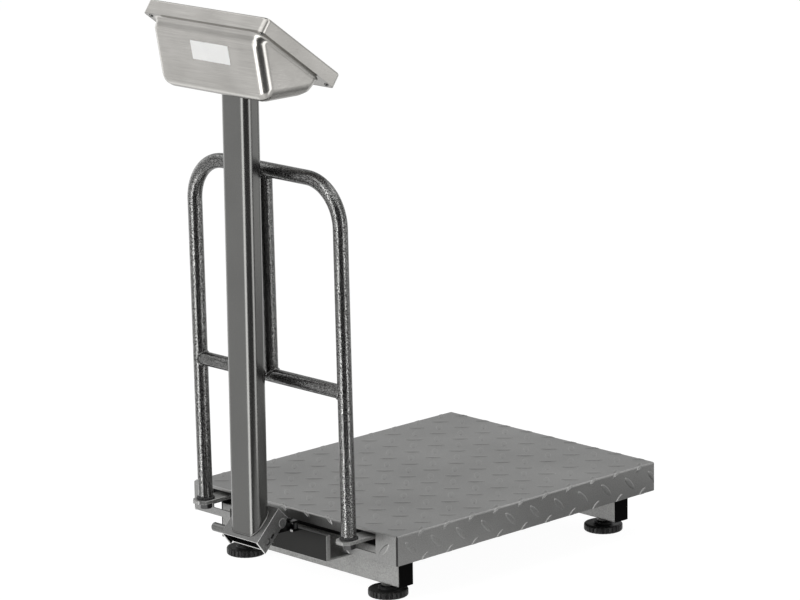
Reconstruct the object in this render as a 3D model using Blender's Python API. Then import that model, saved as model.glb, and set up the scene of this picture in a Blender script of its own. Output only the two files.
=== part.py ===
"""Platform scale with a tread-plate deck, a guard rail, a square column and a tilted indicator.

Metres, +Z up. The column stands on the +Y side and the indicator faces -Y.
"""
import math

import bmesh
import bpy
from mathutils import Vector

# Clearances
GAP = 0.0003
RUNNING = 0.00006

# Platform pan
DECK_WIDTH = 0.400
DECK_LENGTH = 0.500
DECK_TOP = 0.101
SKIRT = 0.041
SHEET = 0.002
DECK_BEND = 0.003
LUG_WINDOW_WIDTH = 0.038
LUG_WINDOW_TOP = 0.004
LUG_WINDOW_BOTTOM = 0.031
NOTCH_WIDTH = 0.186
NOTCH_TOP = 0.015

# Base frame
TUBE_WIDTH = 0.025
TUBE_HEIGHT = 0.050
TUBE_END_INSET = 0.027
TUBE_WALL = 0.002
TUBE_BOTTOM = 0.019
TUBE_SETBACK = 0.0285
PLUG_FACE = 0.002
PLUG_DEPTH = 0.012
SPINE_WIDTH = 0.060
SPINE_HEIGHT = 0.018

# Levelling feet
FOOT_INSET = 0.033
FOOT_RADIUS = 0.027
FOOT_RIM = 0.0105
FOOT_EDGE = 0.0015
FOOT_SHOULDER = 0.003
FOOT_HUB_RADIUS = 0.013
FOOT_HUB_TOP = 0.0135
FOOT_FLUTES = 30
FLUTE_DEPTH = 0.0011
STEM_RADIUS = 0.005
STEM_TOP = 0.055
STEM_NUT_FLATS = 0.017

# Load cell stack
CELL_LENGTH = 0.130
CELL_WIDTH = 0.030
CELL_HEIGHT = 0.022
CELL_TOP_DROP = 0.032
CELL_EYE_RADIUS = 0.0075
CELL_EYE_SPACING = 0.030
CELL_SLOT = 0.003
CELL_END_OFFSET = 0.045
SPACER_LENGTH = 0.030
FRAME_HEIGHT = 0.020
FRAME_BAR = 0.026
FRAME_PLATE = 0.008
FRAME_PLATE_LENGTH = 0.110
FRAME_END_INSET = 0.034
STOP_RADIUS = 0.005
STOP_TRAVEL = 0.002

# Guard rail, in its own leaning plane
RAIL_EDGE = 0.059
RAIL_OUT = 0.030
RAIL_RADIUS = 0.010
RAIL_BAR_RADIUS = 0.0095
RAIL_BEND = 0.060
RAIL_TOP = 0.4685
RAIL_BAR = 0.190
RAIL_LEAN = math.radians(0.8)
LUG_TOP_DROP = 0.008
LUG_THICKNESS = 0.005
LUG_WIDTH = 0.026
LUG_NOSE = 0.018
LUG_CHAMFER = 0.007
LUG_BOLT_FLATS = 0.016
LUG_BOLT_HEIGHT = 0.008

# Column and its hinged foot
COLUMN_WIDTH = 0.052
COLUMN_DEPTH = 0.031
COLUMN_CORNER = 0.012
COLUMN_WALL = 0.002
COLUMN_OUT = 0.077
BRACKET_WIDTH = 0.071
BRACKET_LENGTH = 0.060
BRACKET_DEPTH = 0.023
BRACKET_SHEET = 0.003
BRACKET_LOW_OUT = 0.100
BRACKET_LOW_DROP = 0.024
HINGE_ALONG = 0.0489
HINGE_DEPTH = 0.0185
HINGE_RADIUS = 0.005
HINGE_EYE = 0.0085
HINGE_HEAD_RADIUS = 0.0065
HINGE_HEAD = 0.0015
LOCK_ALONG = 0.016
LOCK_DEPTH = 0.0148
LOCK_RADIUS = 0.005
LOCK_RECESS = 0.0015
LOCK_HANDLE_RADIUS = 0.006
LOCK_HANDLE = 0.035
SLOT_ALONG = 0.0265
SLOT_DEPTH = 0.0172
SLOT_LENGTH = 0.008
SLOT_WIDTH = 0.0036
SADDLE_BOSS = 0.0075
SADDLE_WIDTH = 0.082
SADDLE_REACH = 0.0095
SADDLE_TOP_DROP = 0.003
SADDLE_HEIGHT = 0.0145
SADDLE_SHEET = 0.003
SADDLE_EAR = 0.004
SADDLE_EAR_TOP = 0.030
SADDLE_EAR_FRONT = 0.0045
SADDLE_TONGUE_FRONT = 0.0203
SADDLE_TONGUE_BACK = 0.0228
SADDLE_TONGUE_END = 0.003
CHANNEL_WIDTH = 0.190
CHANNEL_SHEET = 0.003
CHANNEL_LIP_OUT = 0.028
CHANNEL_LIP = 0.008
CHANNEL_LIP_TOP = 0.014
CHANNEL_LIP_BOTTOM = 0.050
CHANNEL_WEB_TOP = 0.036

# Indicator, placed by its tilted front face
PANEL_WIDTH = 0.230
PANEL_SLOPE = 0.155
PANEL_RIM = 0.020
PANEL_CORNER = 0.008
PANEL_SHEET = 0.0015
PANEL_TILT = math.radians(36)
PANEL_OUT = 0.067
PANEL_RISE = 0.648
SHELL_WIDTH = 0.208
SHELL_ROUND = 0.0125
SHELL_TOP_INSET = 0.0105
SHELL_LOW_INSET = 0.019
SHELL_BACK_REACH = 0.0714
SHELL_BACK_LIFT = 0.0099
SHELL_FOOT_REACH = 0.057
SHELL_FRONT_REACH = -0.020
SHELL_DROP = 0.069
WINDOW_WIDTH = 0.150
WINDOW_HEIGHT = 0.050
WINDOW_OFFSET = 0.030
WINDOW_GLASS = 0.002
MODULE_DEPTH = 0.007
KEY_COUNT = 6
KEY_WIDTH = 0.024
KEY_HEIGHT = 0.016
KEY_PITCH = 0.034
KEY_OFFSET = -0.034
KEY_PROUD = 0.0009
KEY_BODY = 0.007
KEY_CLEARANCE = 0.0004
KEY_EDGE = 0.0006
BOARD_WIDTH = 0.180
BOARD_HEIGHT = 0.100
BOARD_SHEET = 0.0016
BOARD_DROP = 0.0125
BATTERY_SIZE = (0.100, 0.044, 0.030)

# Places worked out from the sizes above, with the deck centre at DECK_Y
PANEL_REAR_OUT = PANEL_OUT + PANEL_SLOPE / 2 * math.cos(PANEL_TILT) + PANEL_RIM * math.sin(PANEL_TILT)
DECK_Y = -PANEL_REAR_OUT / 2
REAR_SKIRT_Y = DECK_Y + DECK_LENGTH / 2
TUBE_LENGTH = DECK_WIDTH - 2 * TUBE_END_INSET
RAIL_SPACING = DECK_WIDTH - 2 * RAIL_EDGE
TUBE_OFFSET = DECK_LENGTH / 2 - TUBE_SETBACK - TUBE_WIDTH / 2
TUBE_TOP = TUBE_BOTTOM + TUBE_HEIGHT
FOOT_X = TUBE_LENGTH / 2 - FOOT_INSET
CELL_TOP = DECK_TOP - CELL_TOP_DROP
CELL_BOTTOM = CELL_TOP - CELL_HEIGHT
SPINE_TOP = TUBE_BOTTOM + SPINE_HEIGHT
FRAME_TOP = DECK_TOP - SHEET - GAP
FRAME_BOTTOM = FRAME_TOP - FRAME_HEIGHT
FRAME_END = DECK_LENGTH / 2 - FRAME_END_INSET
LUG_TOP = DECK_TOP - LUG_TOP_DROP
COLUMN_Y = REAR_SKIRT_Y + COLUMN_OUT
COLUMN_TOP_Z = DECK_TOP + PANEL_RISE - SHELL_DROP
PANEL_Y = REAR_SKIRT_Y + PANEL_OUT
PANEL_Z = DECK_TOP + PANEL_RISE
SLOPE_UP = Vector((0, -1, 1)).normalized()
SLOPE_IN = Vector((0, -1, -1)).normalized()
BRACKET_LOW = Vector((0, REAR_SKIRT_Y + BRACKET_LOW_OUT, DECK_TOP - BRACKET_LOW_DROP))
HINGE_AXIS = BRACKET_LOW + SLOPE_UP * HINGE_ALONG + SLOPE_IN * HINGE_DEPTH
LOCK_AXIS = BRACKET_LOW + SLOPE_UP * LOCK_ALONG + SLOPE_IN * LOCK_DEPTH
CHEEK_INNER = BRACKET_WIDTH / 2 - BRACKET_SHEET
SADDLE_HALF = CHEEK_INNER - 2 * GAP
SADDLE_BACK = REAR_SKIRT_Y + CHANNEL_LIP_OUT + GAP
SADDLE_TOP = DECK_TOP - SADDLE_TOP_DROP
SADDLE_BOTTOM = SADDLE_TOP - SADDLE_HEIGHT

AXES = {'X': (1, 2, 0), 'Y': (0, 2, 1), 'Z': (0, 1, 2)}


def clear_scene():
    for item in list(bpy.data.objects):
        bpy.data.objects.remove(item, do_unlink=True)


def paint(name, colour, metallic, roughness):
    material = bpy.data.materials.new(name)
    material.use_nodes = True
    shader = material.node_tree.nodes['Principled BSDF']
    shader.inputs['Base Color'].default_value = (*colour, 1)
    shader.inputs['Metallic'].default_value = metallic
    shader.inputs['Roughness'].default_value = roughness
    return material


def place(name, mesh_builder, material, smooth=30):
    """Turns a bmesh into a named object, with round faces smooth and edges over the angle sharp."""
    bmesh.ops.recalc_face_normals(mesh_builder, faces=mesh_builder.faces)
    mesh = bpy.data.meshes.new(name)
    mesh_builder.to_mesh(mesh)
    mesh_builder.free()
    mesh.shade_smooth()
    mesh.set_sharp_from_angle(angle=math.radians(smooth))
    if material:
        mesh.materials.append(material)
    item = bpy.data.objects.new(name, mesh)
    bpy.context.collection.objects.link(item)
    return item


def block(size, centre, bevel=0, segments=3):
    builder = bmesh.new()
    bmesh.ops.create_cube(builder, size=1)
    bmesh.ops.scale(builder, vec=size, verts=builder.verts)
    if bevel:
        bmesh.ops.bevel(builder, geom=builder.edges[:], offset=bevel, segments=segments,
                        profile=0.5, affect='EDGES')
    bmesh.ops.translate(builder, vec=centre, verts=builder.verts)
    return builder


def prism(outline, low, high, axis):
    """Extrudes a closed outline along an axis; its points are in the other two axes, in X Y Z order."""
    first, second, along = AXES[axis]
    builder = bmesh.new()
    corners = []
    for point in outline:
        place_at = [0.0, 0.0, 0.0]
        place_at[first], place_at[second], place_at[along] = point[0], point[1], low
        corners.append(builder.verts.new(place_at))
    face = builder.faces.new(corners)
    grown = bmesh.ops.extrude_face_region(builder, geom=[face])
    step = [0.0, 0.0, 0.0]
    step[along] = high - low
    moved = [part for part in grown['geom'] if isinstance(part, bmesh.types.BMVert)]
    bmesh.ops.translate(builder, vec=step, verts=moved)
    return builder


def rod(radius, low, high, axis, centre, sides=32):
    """A round bar from low to high along an axis; centre gives its other two coordinates."""
    outline = arc(centre, radius, 0, 2 * math.pi, sides)[:-1]
    return prism(outline, low, high, axis)


def arc(centre, radius, start, end, steps):
    turn = (end - start) / steps
    return [(centre[0] + radius * math.cos(start + turn * i), centre[1] + radius * math.sin(start + turn * i))
            for i in range(steps + 1)]


def rounded_rectangle(width, height, radius, centre=(0, 0), steps=5):
    outline = []
    for quarter, (side, end) in enumerate(((1, 1), (-1, 1), (-1, -1), (1, -1))):
        middle = (centre[0] + side * (width / 2 - radius), centre[1] + end * (height / 2 - radius))
        outline += arc(middle, radius, quarter * math.pi / 2, (quarter + 1) * math.pi / 2, steps)
    return outline


def hexagon(flats, centre):
    return arc(centre, flats / math.sqrt(3), 0, 2 * math.pi, 6)[:-1]


def cut(target, cutter, operation='DIFFERENCE'):
    """Cuts (or joins) one object with another, which is then only a guide."""
    cutter.hide_render = True
    cutter.display_type = 'WIRE'
    change = target.modifiers.new(cutter.name, 'BOOLEAN')
    change.operation = operation
    change.object = cutter


def swept_tube(path, radius, sides=16):
    """Sweeps a circle along a path in the XZ plane and closes both ends."""
    builder = bmesh.new()
    rings = []
    for index, point in enumerate(path):
        before = Vector(path[max(index - 1, 0)])
        after = Vector(path[min(index + 1, len(path) - 1)])
        heading = (after - before).normalized()
        across = Vector((heading.y, -heading.x))
        ring = []
        for side in range(sides):
            angle = 2 * math.pi * side / sides
            reach = across * radius * math.cos(angle)
            ring.append(builder.verts.new((point[0] + reach.x, radius * math.sin(angle), point[1] + reach.y)))
        rings.append(ring)
    for lower, upper in zip(rings, rings[1:]):
        for side in range(sides):
            follow = (side + 1) % sides
            builder.faces.new((lower[side], lower[follow], upper[follow], upper[side]))
    builder.faces.new(rings[0])
    builder.faces.new(rings[-1])
    return builder


def build_pan(steel):
    top = block((DECK_WIDTH, DECK_LENGTH, SKIRT + DECK_BEND),
                (0, DECK_Y, DECK_TOP - (SKIRT + DECK_BEND) / 2), DECK_BEND)
    pan = place('platform_pan', top, steel)
    hollow_depth = SKIRT + 2 * DECK_BEND
    hollow = block((DECK_WIDTH - 2 * SHEET, DECK_LENGTH - 2 * SHEET, hollow_depth),
                   (0, DECK_Y, DECK_TOP - SHEET - hollow_depth / 2))
    cut(pan, place('pan_hollow', hollow, None))
    trim = block((DECK_WIDTH * 1.1, DECK_LENGTH * 1.1, 2 * DECK_BEND),
                 (0, DECK_Y, DECK_TOP - SKIRT - DECK_BEND))
    cut(pan, place('pan_trim', trim, None))
    window_height = LUG_WINDOW_BOTTOM - LUG_WINDOW_TOP
    for side, name in ((1, 'left'), (-1, 'right')):
        window = block((LUG_WINDOW_WIDTH, 4 * SHEET, window_height),
                       (side * RAIL_SPACING / 2, REAR_SKIRT_Y, DECK_TOP - LUG_WINDOW_TOP - window_height / 2))
        cut(pan, place('pan_window_' + name, window, None))
    notch_height = SKIRT - NOTCH_TOP + DECK_BEND
    notch = block((NOTCH_WIDTH, 4 * SHEET, notch_height),
                  (0, REAR_SKIRT_Y, DECK_TOP - NOTCH_TOP - notch_height / 2))
    cut(pan, place('pan_notch', notch, None))


def build_base(paint_grey, plastic):
    inner = (TUBE_WIDTH - 2 * TUBE_WALL, TUBE_HEIGHT - 2 * TUBE_WALL)
    middle_z = TUBE_BOTTOM + TUBE_HEIGHT / 2
    for end, end_name in ((1, 'rear'), (-1, 'front')):
        y = DECK_Y + end * TUBE_OFFSET
        outline = rounded_rectangle(TUBE_WIDTH, TUBE_HEIGHT, TUBE_WALL, (y, middle_z), 3)
        tube = place('base_cross_tube_' + end_name,
                     prism(outline, -TUBE_LENGTH / 2, TUBE_LENGTH / 2, 'X'), paint_grey)
        bore = block((TUBE_LENGTH * 1.1, *inner), (0, y, middle_z))
        cut(tube, place('tube_bore_' + end_name, bore, None))
        for side, side_name in ((1, 'left'), (-1, 'right')):
            hole = rod(STEM_RADIUS + GAP, TUBE_BOTTOM - TUBE_WALL, TUBE_BOTTOM + 2 * TUBE_WALL, 'Z',
                       (side * FOOT_X, y))
            cut(tube, place('stem_hole_%s_%s' % (end_name, side_name), hole, None))
            face_x = side * (TUBE_LENGTH / 2 + GAP + PLUG_FACE / 2)
            plug = block((PLUG_FACE, TUBE_WIDTH, TUBE_HEIGHT), (face_x, y, middle_z))
            plug_item = place('end_plug_%s_%s' % (end_name, side_name), plug, plastic)
            spigot_x = side * (TUBE_LENGTH / 2 + 2 * GAP - PLUG_DEPTH / 2)
            spigot = block((PLUG_DEPTH, inner[0] - 2 * GAP, inner[1] - 2 * GAP), (spigot_x, y, middle_z))
            cut(plug_item, place('plug_spigot_%s_%s' % (end_name, side_name), spigot, None), 'UNION')
    spine_length = 2 * (TUBE_OFFSET - TUBE_WIDTH / 2 - GAP)
    spine_z = TUBE_BOTTOM + SPINE_HEIGHT / 2
    spine = place('base_spine', block((SPINE_WIDTH, spine_length, SPINE_HEIGHT), (0, DECK_Y, spine_z)),
                  paint_grey)
    spine_bore = block((SPINE_WIDTH - 2 * TUBE_WALL, spine_length * 1.1, SPINE_HEIGHT - 2 * TUBE_WALL),
                       (0, DECK_Y, spine_z))
    cut(spine, place('spine_bore', spine_bore, None))


def build_feet(plastic, zinc):
    for end, end_name in ((1, 'rear'), (-1, 'front')):
        for side, side_name in ((1, 'left'), (-1, 'right')):
            at = (side * FOOT_X, DECK_Y + end * TUBE_OFFSET)
            place('foot_pad_%s_%s' % (end_name, side_name), foot_pad(), plastic).location = (*at, 0)
            stem = prism(hexagon(STEM_NUT_FLATS, (0, 0)), FOOT_HUB_TOP + GAP, TUBE_BOTTOM - GAP, 'Z')
            stem_item = place('foot_stem_%s_%s' % (end_name, side_name), stem, zinc)
            stem_item.location = (*at, 0)
            shaft = place('stem_shaft_%s_%s' % (end_name, side_name),
                          rod(STEM_RADIUS, TUBE_BOTTOM - 2 * GAP, STEM_TOP, 'Z', (0, 0)), None)
            shaft.location = (*at, 0)
            cut(stem_item, shaft, 'UNION')


def foot_pad():
    """A fluted rim with a domed top and a plain hub, stacked in rings from the floor up."""
    steps = FOOT_FLUTES * 4
    heights = ((0, FOOT_RADIUS - FLUTE_DEPTH, 0), (FOOT_EDGE, FOOT_RADIUS, FLUTE_DEPTH),
               (FOOT_RIM - FOOT_EDGE, FOOT_RADIUS, FLUTE_DEPTH), (FOOT_RIM, FOOT_RADIUS - FOOT_SHOULDER, 0),
               (FOOT_RIM, FOOT_HUB_RADIUS, 0), (FOOT_HUB_TOP, FOOT_HUB_RADIUS, 0))
    builder = bmesh.new()
    rings = []
    for height, radius, flute in heights:
        ring = []
        for step in range(steps):
            angle = 2 * math.pi * step / steps
            reach = radius - flute * (0.5 - 0.5 * math.cos(angle * FOOT_FLUTES))
            ring.append(builder.verts.new((reach * math.cos(angle), reach * math.sin(angle), height)))
        rings.append(ring)
    for lower, upper in zip(rings, rings[1:]):
        for step in range(steps):
            follow = (step + 1) % steps
            builder.faces.new((lower[step], lower[follow], upper[follow], upper[step]))
    builder.faces.new(rings[0])
    builder.faces.new(rings[-1])
    return builder


def build_load_cell(aluminium, zinc, paint_grey):
    cell_z = CELL_BOTTOM + CELL_HEIGHT / 2
    cell = place('load_cell', block((CELL_WIDTH, CELL_LENGTH, CELL_HEIGHT), (0, DECK_Y, cell_z)), aluminium)
    for side in (1, -1):
        eye_y = DECK_Y + side * CELL_EYE_SPACING / 2
        eye = rod(CELL_EYE_RADIUS, -CELL_WIDTH, CELL_WIDTH, 'X', (eye_y, cell_z))
        cut(cell, place('cell_eye_%d' % side, eye, None))
    slot = block((2 * CELL_WIDTH, CELL_EYE_SPACING, CELL_SLOT), (0, DECK_Y, cell_z))
    cut(cell, place('cell_slot', slot, None))
    for name, end, low, high in (('load_cell_lower_spacer', -1, SPINE_TOP + GAP, CELL_BOTTOM - GAP),
                                 ('load_cell_upper_spacer', 1, CELL_TOP + GAP, FRAME_BOTTOM - GAP)):
        spacer = block((CELL_WIDTH, SPACER_LENGTH, high - low),
                       (0, DECK_Y + end * CELL_END_OFFSET, (low + high) / 2))
        place(name, spacer, zinc)
    bar_length = 2 * FRAME_END
    bar_z = (FRAME_TOP + FRAME_BOTTOM) / 2
    bar_size = (FRAME_BAR, bar_length, FRAME_HEIGHT)
    frame = place('load_frame', block(bar_size, (RAIL_SPACING / 2, DECK_Y, bar_z)), paint_grey)
    other = block(bar_size, (-RAIL_SPACING / 2, DECK_Y, bar_z))
    plate = block((RAIL_SPACING, FRAME_PLATE_LENGTH, FRAME_PLATE),
                  (0, DECK_Y + CELL_END_OFFSET / 2, FRAME_BOTTOM + FRAME_PLATE / 2))
    cut(frame, place('frame_plate', plate, None), 'UNION')
    cut(frame, place('frame_bar_right', other, None), 'UNION')
    for end in (1, -1):
        tie = block((RAIL_SPACING, FRAME_BAR, FRAME_PLATE),
                    (0, DECK_Y + end * (FRAME_END - FRAME_BAR), FRAME_BOTTOM + FRAME_PLATE))
        cut(frame, place('frame_tie_%d' % end, tie, None), 'UNION')
    for end, end_name in ((1, 'rear'), (-1, 'front')):
        for side, side_name in ((1, 'left'), (-1, 'right')):
            stop = rod(STOP_RADIUS, TUBE_TOP + GAP, FRAME_BOTTOM - STOP_TRAVEL, 'Z',
                       (side * RAIL_SPACING / 2, DECK_Y + end * TUBE_OFFSET), 20)
            place('overload_stop_%s_%s' % (end_name, side_name), stop, zinc)


def build_rail(hammered, zinc):
    leg = RAIL_SPACING / 2
    base = (0, REAR_SKIRT_Y + RAIL_OUT, LUG_TOP + GAP)
    rise = RAIL_TOP + LUG_TOP_DROP - GAP
    bar_rise = RAIL_BAR + LUG_TOP_DROP - GAP
    path = [(leg, 0)] + arc((leg - RAIL_BEND, rise - RAIL_BEND), RAIL_BEND, 0, math.pi / 2, 8)
    path += arc((RAIL_BEND - leg, rise - RAIL_BEND), RAIL_BEND, math.pi / 2, math.pi, 8) + [(-leg, 0)]
    bar_path = [(-leg, bar_rise), (leg, bar_rise)]
    post_path = [(0, bar_rise), (0, rise)]
    hoop = place('rail_hoop', swept_tube(path, RAIL_RADIUS, 20), hammered)
    crossbar = place('rail_crossbar', swept_tube(bar_path, RAIL_BAR_RADIUS, 20), hammered)
    post = place('rail_centre_post', swept_tube(post_path, RAIL_BAR_RADIUS, 20), hammered)
    cope = place('rail_cope', swept_tube(path, RAIL_RADIUS + GAP, 20), None)
    bar_cope = place('rail_bar_cope', swept_tube(bar_path, RAIL_BAR_RADIUS + GAP, 20), None)
    cut(crossbar, cope)
    cut(post, cope)
    cut(post, bar_cope)
    for item in (hoop, crossbar, post, cope, bar_cope):
        item.location = base
        item.rotation_euler.x = -RAIL_LEAN
    lug_start = DECK_Y + FRAME_END + GAP
    lug_end = REAR_SKIRT_Y + RAIL_OUT + LUG_NOSE
    for side, name in ((1, 'left'), (-1, 'right')):
        low, high = side * leg - LUG_WIDTH / 2, side * leg + LUG_WIDTH / 2
        outline = [(low, lug_start), (high, lug_start), (high, lug_end - LUG_CHAMFER),
                   (high - LUG_CHAMFER, lug_end), (low + LUG_CHAMFER, lug_end), (low, lug_end - LUG_CHAMFER)]
        place('rail_lug_' + name, prism(outline, LUG_TOP - LUG_THICKNESS, LUG_TOP, 'Z'), hammered)
        under = LUG_TOP - LUG_THICKNESS - GAP
        head = prism(hexagon(LUG_BOLT_FLATS, (side * leg, base[1])), under - LUG_BOLT_HEIGHT, under, 'Z')
        place('rail_bolt_' + name, head, zinc)


def bracket_point(along, depth):
    """A point of the column foot's side view, as (y, z)."""
    point = BRACKET_LOW + SLOPE_UP * along + SLOPE_IN * depth
    return (point.y, point.z)


def build_column(column_paint, zinc):
    outline = rounded_rectangle(COLUMN_WIDTH, COLUMN_DEPTH, COLUMN_CORNER, (0, COLUMN_Y), 8)
    low_z = BRACKET_LOW.z - BRACKET_LENGTH
    column = place('column_tube', prism(outline, low_z, COLUMN_TOP_Z - GAP, 'Z'), column_paint)
    bore = prism(rounded_rectangle(COLUMN_WIDTH - 2 * COLUMN_WALL, COLUMN_DEPTH - 2 * COLUMN_WALL,
                                   COLUMN_CORNER - COLUMN_WALL, (0, COLUMN_Y), 8),
                 low_z - COLUMN_WIDTH, COLUMN_TOP_Z + COLUMN_WIDTH, 'Z')
    cut(column, place('column_bore', bore, None))
    mitre = prism([bracket_point(-BRACKET_LENGTH, -GAP), bracket_point(3 * BRACKET_LENGTH, -GAP),
                   bracket_point(3 * BRACKET_LENGTH, 3 * BRACKET_LENGTH),
                   bracket_point(-BRACKET_LENGTH, 3 * BRACKET_LENGTH)],
                  -BRACKET_WIDTH, BRACKET_WIDTH, 'X')
    cut(column, place('column_mitre', mitre, None))

    half = BRACKET_WIDTH / 2
    outer = prism([bracket_point(0, 0), bracket_point(BRACKET_LENGTH, 0),
                   bracket_point(BRACKET_LENGTH, BRACKET_DEPTH), bracket_point(0, BRACKET_DEPTH)],
                  -half, half, 'X')
    bracket = place('column_bracket', outer, column_paint)
    hollow = prism([bracket_point(-BRACKET_SHEET, BRACKET_SHEET),
                    bracket_point(BRACKET_LENGTH + BRACKET_SHEET, BRACKET_SHEET),
                    bracket_point(BRACKET_LENGTH + BRACKET_SHEET, 2 * BRACKET_DEPTH),
                    bracket_point(-BRACKET_SHEET, 2 * BRACKET_DEPTH)], -CHEEK_INNER, CHEEK_INNER, 'X')
    cut(bracket, place('bracket_hollow', hollow, None))
    hinge, lock = (HINGE_AXIS.y, HINGE_AXIS.z), (LOCK_AXIS.y, LOCK_AXIS.z)
    for name, low_x, high_x in (('left', CHEEK_INNER, half), ('right', -half, -CHEEK_INNER)):
        eye = rod(HINGE_EYE, low_x, high_x, 'X', hinge)
        cut(bracket, place('bracket_eye_' + name, eye, None), 'UNION')
    saddle = build_saddle(hinge, column_paint)
    for name, outline in (('hinge', hole_outline(hinge, HINGE_RADIUS)),
                          ('lock', hole_outline(lock, LOCK_RADIUS)), ('slot', slot_outline())):
        hole = place('column_hole_' + name, prism(outline, -BRACKET_WIDTH, BRACKET_WIDTH, 'X'), None)
        cut(bracket, hole)
        cut(saddle, hole)

    pin = place('hinge_pin', rod(HINGE_RADIUS, -half - HINGE_HEAD, half + HINGE_HEAD, 'X', hinge), zinc)
    for side in (1, -1):
        inner, outer_x = side * (half + GAP), side * (half + GAP + HINGE_HEAD)
        head = rod(HINGE_HEAD_RADIUS, min(inner, outer_x), max(inner, outer_x), 'X', hinge)
        cut(pin, place('pin_head_%d' % side, head, None), 'UNION')
    shank = rod(LOCK_RADIUS, LOCK_RECESS - half, half + LOCK_HANDLE / 2, 'X', lock)
    handle = rod(LOCK_HANDLE_RADIUS, half + 2 * GAP, half + LOCK_HANDLE, 'X', lock)
    cut(place('lock_pin', shank, zinc), place('lock_handle', handle, None), 'UNION')


def hole_outline(centre, radius):
    return arc(centre, radius + RUNNING, 0, 2 * math.pi, 32)[:-1]


def slot_outline():
    """Side view of the catch slot, a round-ended slot that lies along the bracket."""
    reach = (SLOT_LENGTH - SLOT_WIDTH) / 2
    upper = bracket_point(SLOT_ALONG + reach, SLOT_DEPTH)
    lower = bracket_point(SLOT_ALONG - reach, SLOT_DEPTH)
    return (arc(upper, SLOT_WIDTH / 2, math.pi / 4, math.pi * 5 / 4, 6)
            + arc(lower, SLOT_WIDTH / 2, math.pi * 5 / 4, math.pi * 9 / 4, 6))


def build_saddle(hinge, column_paint):
    """A wide channel on the lip, an arm out to the hinge, and a hollow tongue that holds the lock pin."""
    tongue_turn = SADDLE_TONGUE_BACK + (SADDLE_BOTTOM - BRACKET_LOW.z) * math.sqrt(2)
    outline = arc(hinge, SADDLE_BOSS, math.pi / 2, math.pi / 4, 4)
    outline += [bracket_point(SADDLE_EAR_TOP, SADDLE_EAR_FRONT),
                bracket_point(SADDLE_TONGUE_END, SADDLE_EAR_FRONT),
                bracket_point(SADDLE_TONGUE_END, SADDLE_TONGUE_BACK),
                bracket_point(tongue_turn, SADDLE_TONGUE_BACK),
                (SADDLE_BACK, SADDLE_BOTTOM), (SADDLE_BACK, SADDLE_TOP)]
    saddle = place('hinge_saddle', prism(outline, -SADDLE_HALF, SADDLE_HALF, 'X'), column_paint)
    front, inner = SADDLE_BACK + SADDLE_REACH, SADDLE_BACK + SADDLE_SHEET
    wing = prism([(SADDLE_BACK, SADDLE_BOTTOM), (front, SADDLE_BOTTOM), (front, SADDLE_BOTTOM + SADDLE_SHEET),
                  (inner, SADDLE_BOTTOM + SADDLE_SHEET), (inner, SADDLE_TOP - SADDLE_SHEET),
                  (front, SADDLE_TOP - SADDLE_SHEET), (front, SADDLE_TOP), (SADDLE_BACK, SADDLE_TOP)],
                 -SADDLE_WIDTH / 2, SADDLE_WIDTH / 2, 'X')
    cut(saddle, place('saddle_wing', wing, None), 'UNION')
    ear_inner = SADDLE_HALF - SADDLE_EAR
    hollow = prism([bracket_point(-BRACKET_LENGTH, -SADDLE_SHEET),
                    bracket_point(SADDLE_EAR_TOP, -SADDLE_SHEET),
                    bracket_point(SADDLE_EAR_TOP, SADDLE_TONGUE_FRONT),
                    bracket_point(-BRACKET_LENGTH, SADDLE_TONGUE_FRONT)], -ear_inner, ear_inner, 'X')
    cut(saddle, place('saddle_hollow', hollow, None))
    return saddle


def build_channel(column_paint):
    """A folded plate from the rear cross tube, under the skirt's notch and up to a lip for the saddle."""
    start = DECK_Y + TUBE_OFFSET + TUBE_WIDTH / 2 + GAP
    end = REAR_SKIRT_Y + CHANNEL_LIP_OUT
    low = DECK_TOP - CHANNEL_LIP_BOTTOM
    lip_top, web_top = DECK_TOP - CHANNEL_LIP_TOP, DECK_TOP - CHANNEL_WEB_TOP
    outline = [(start, low), (end, low), (end, lip_top), (end - CHANNEL_LIP, lip_top),
               (end - CHANNEL_LIP, low + CHANNEL_SHEET), (start + CHANNEL_SHEET, low + CHANNEL_SHEET),
               (start + CHANNEL_SHEET, web_top), (start, web_top)]
    place('column_channel', prism(outline, -CHANNEL_WIDTH / 2, CHANNEL_WIDTH / 2, 'X'), column_paint)


def panel_point(reach, lift):
    """Turns a place behind and above the panel's centre into the panel's own (slope, normal)."""
    away = Vector((reach, lift))
    along = Vector((math.cos(PANEL_TILT), math.sin(PANEL_TILT)))
    normal = Vector((-math.sin(PANEL_TILT), math.cos(PANEL_TILT)))
    return (away.dot(along), away.dot(normal))


def tilt(*items):
    """Stands pieces made flat, with the front face up, on the tilted panel."""
    for item in items:
        item.location = (0, PANEL_Y, PANEL_Z)
        item.rotation_euler.x = PANEL_TILT


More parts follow.
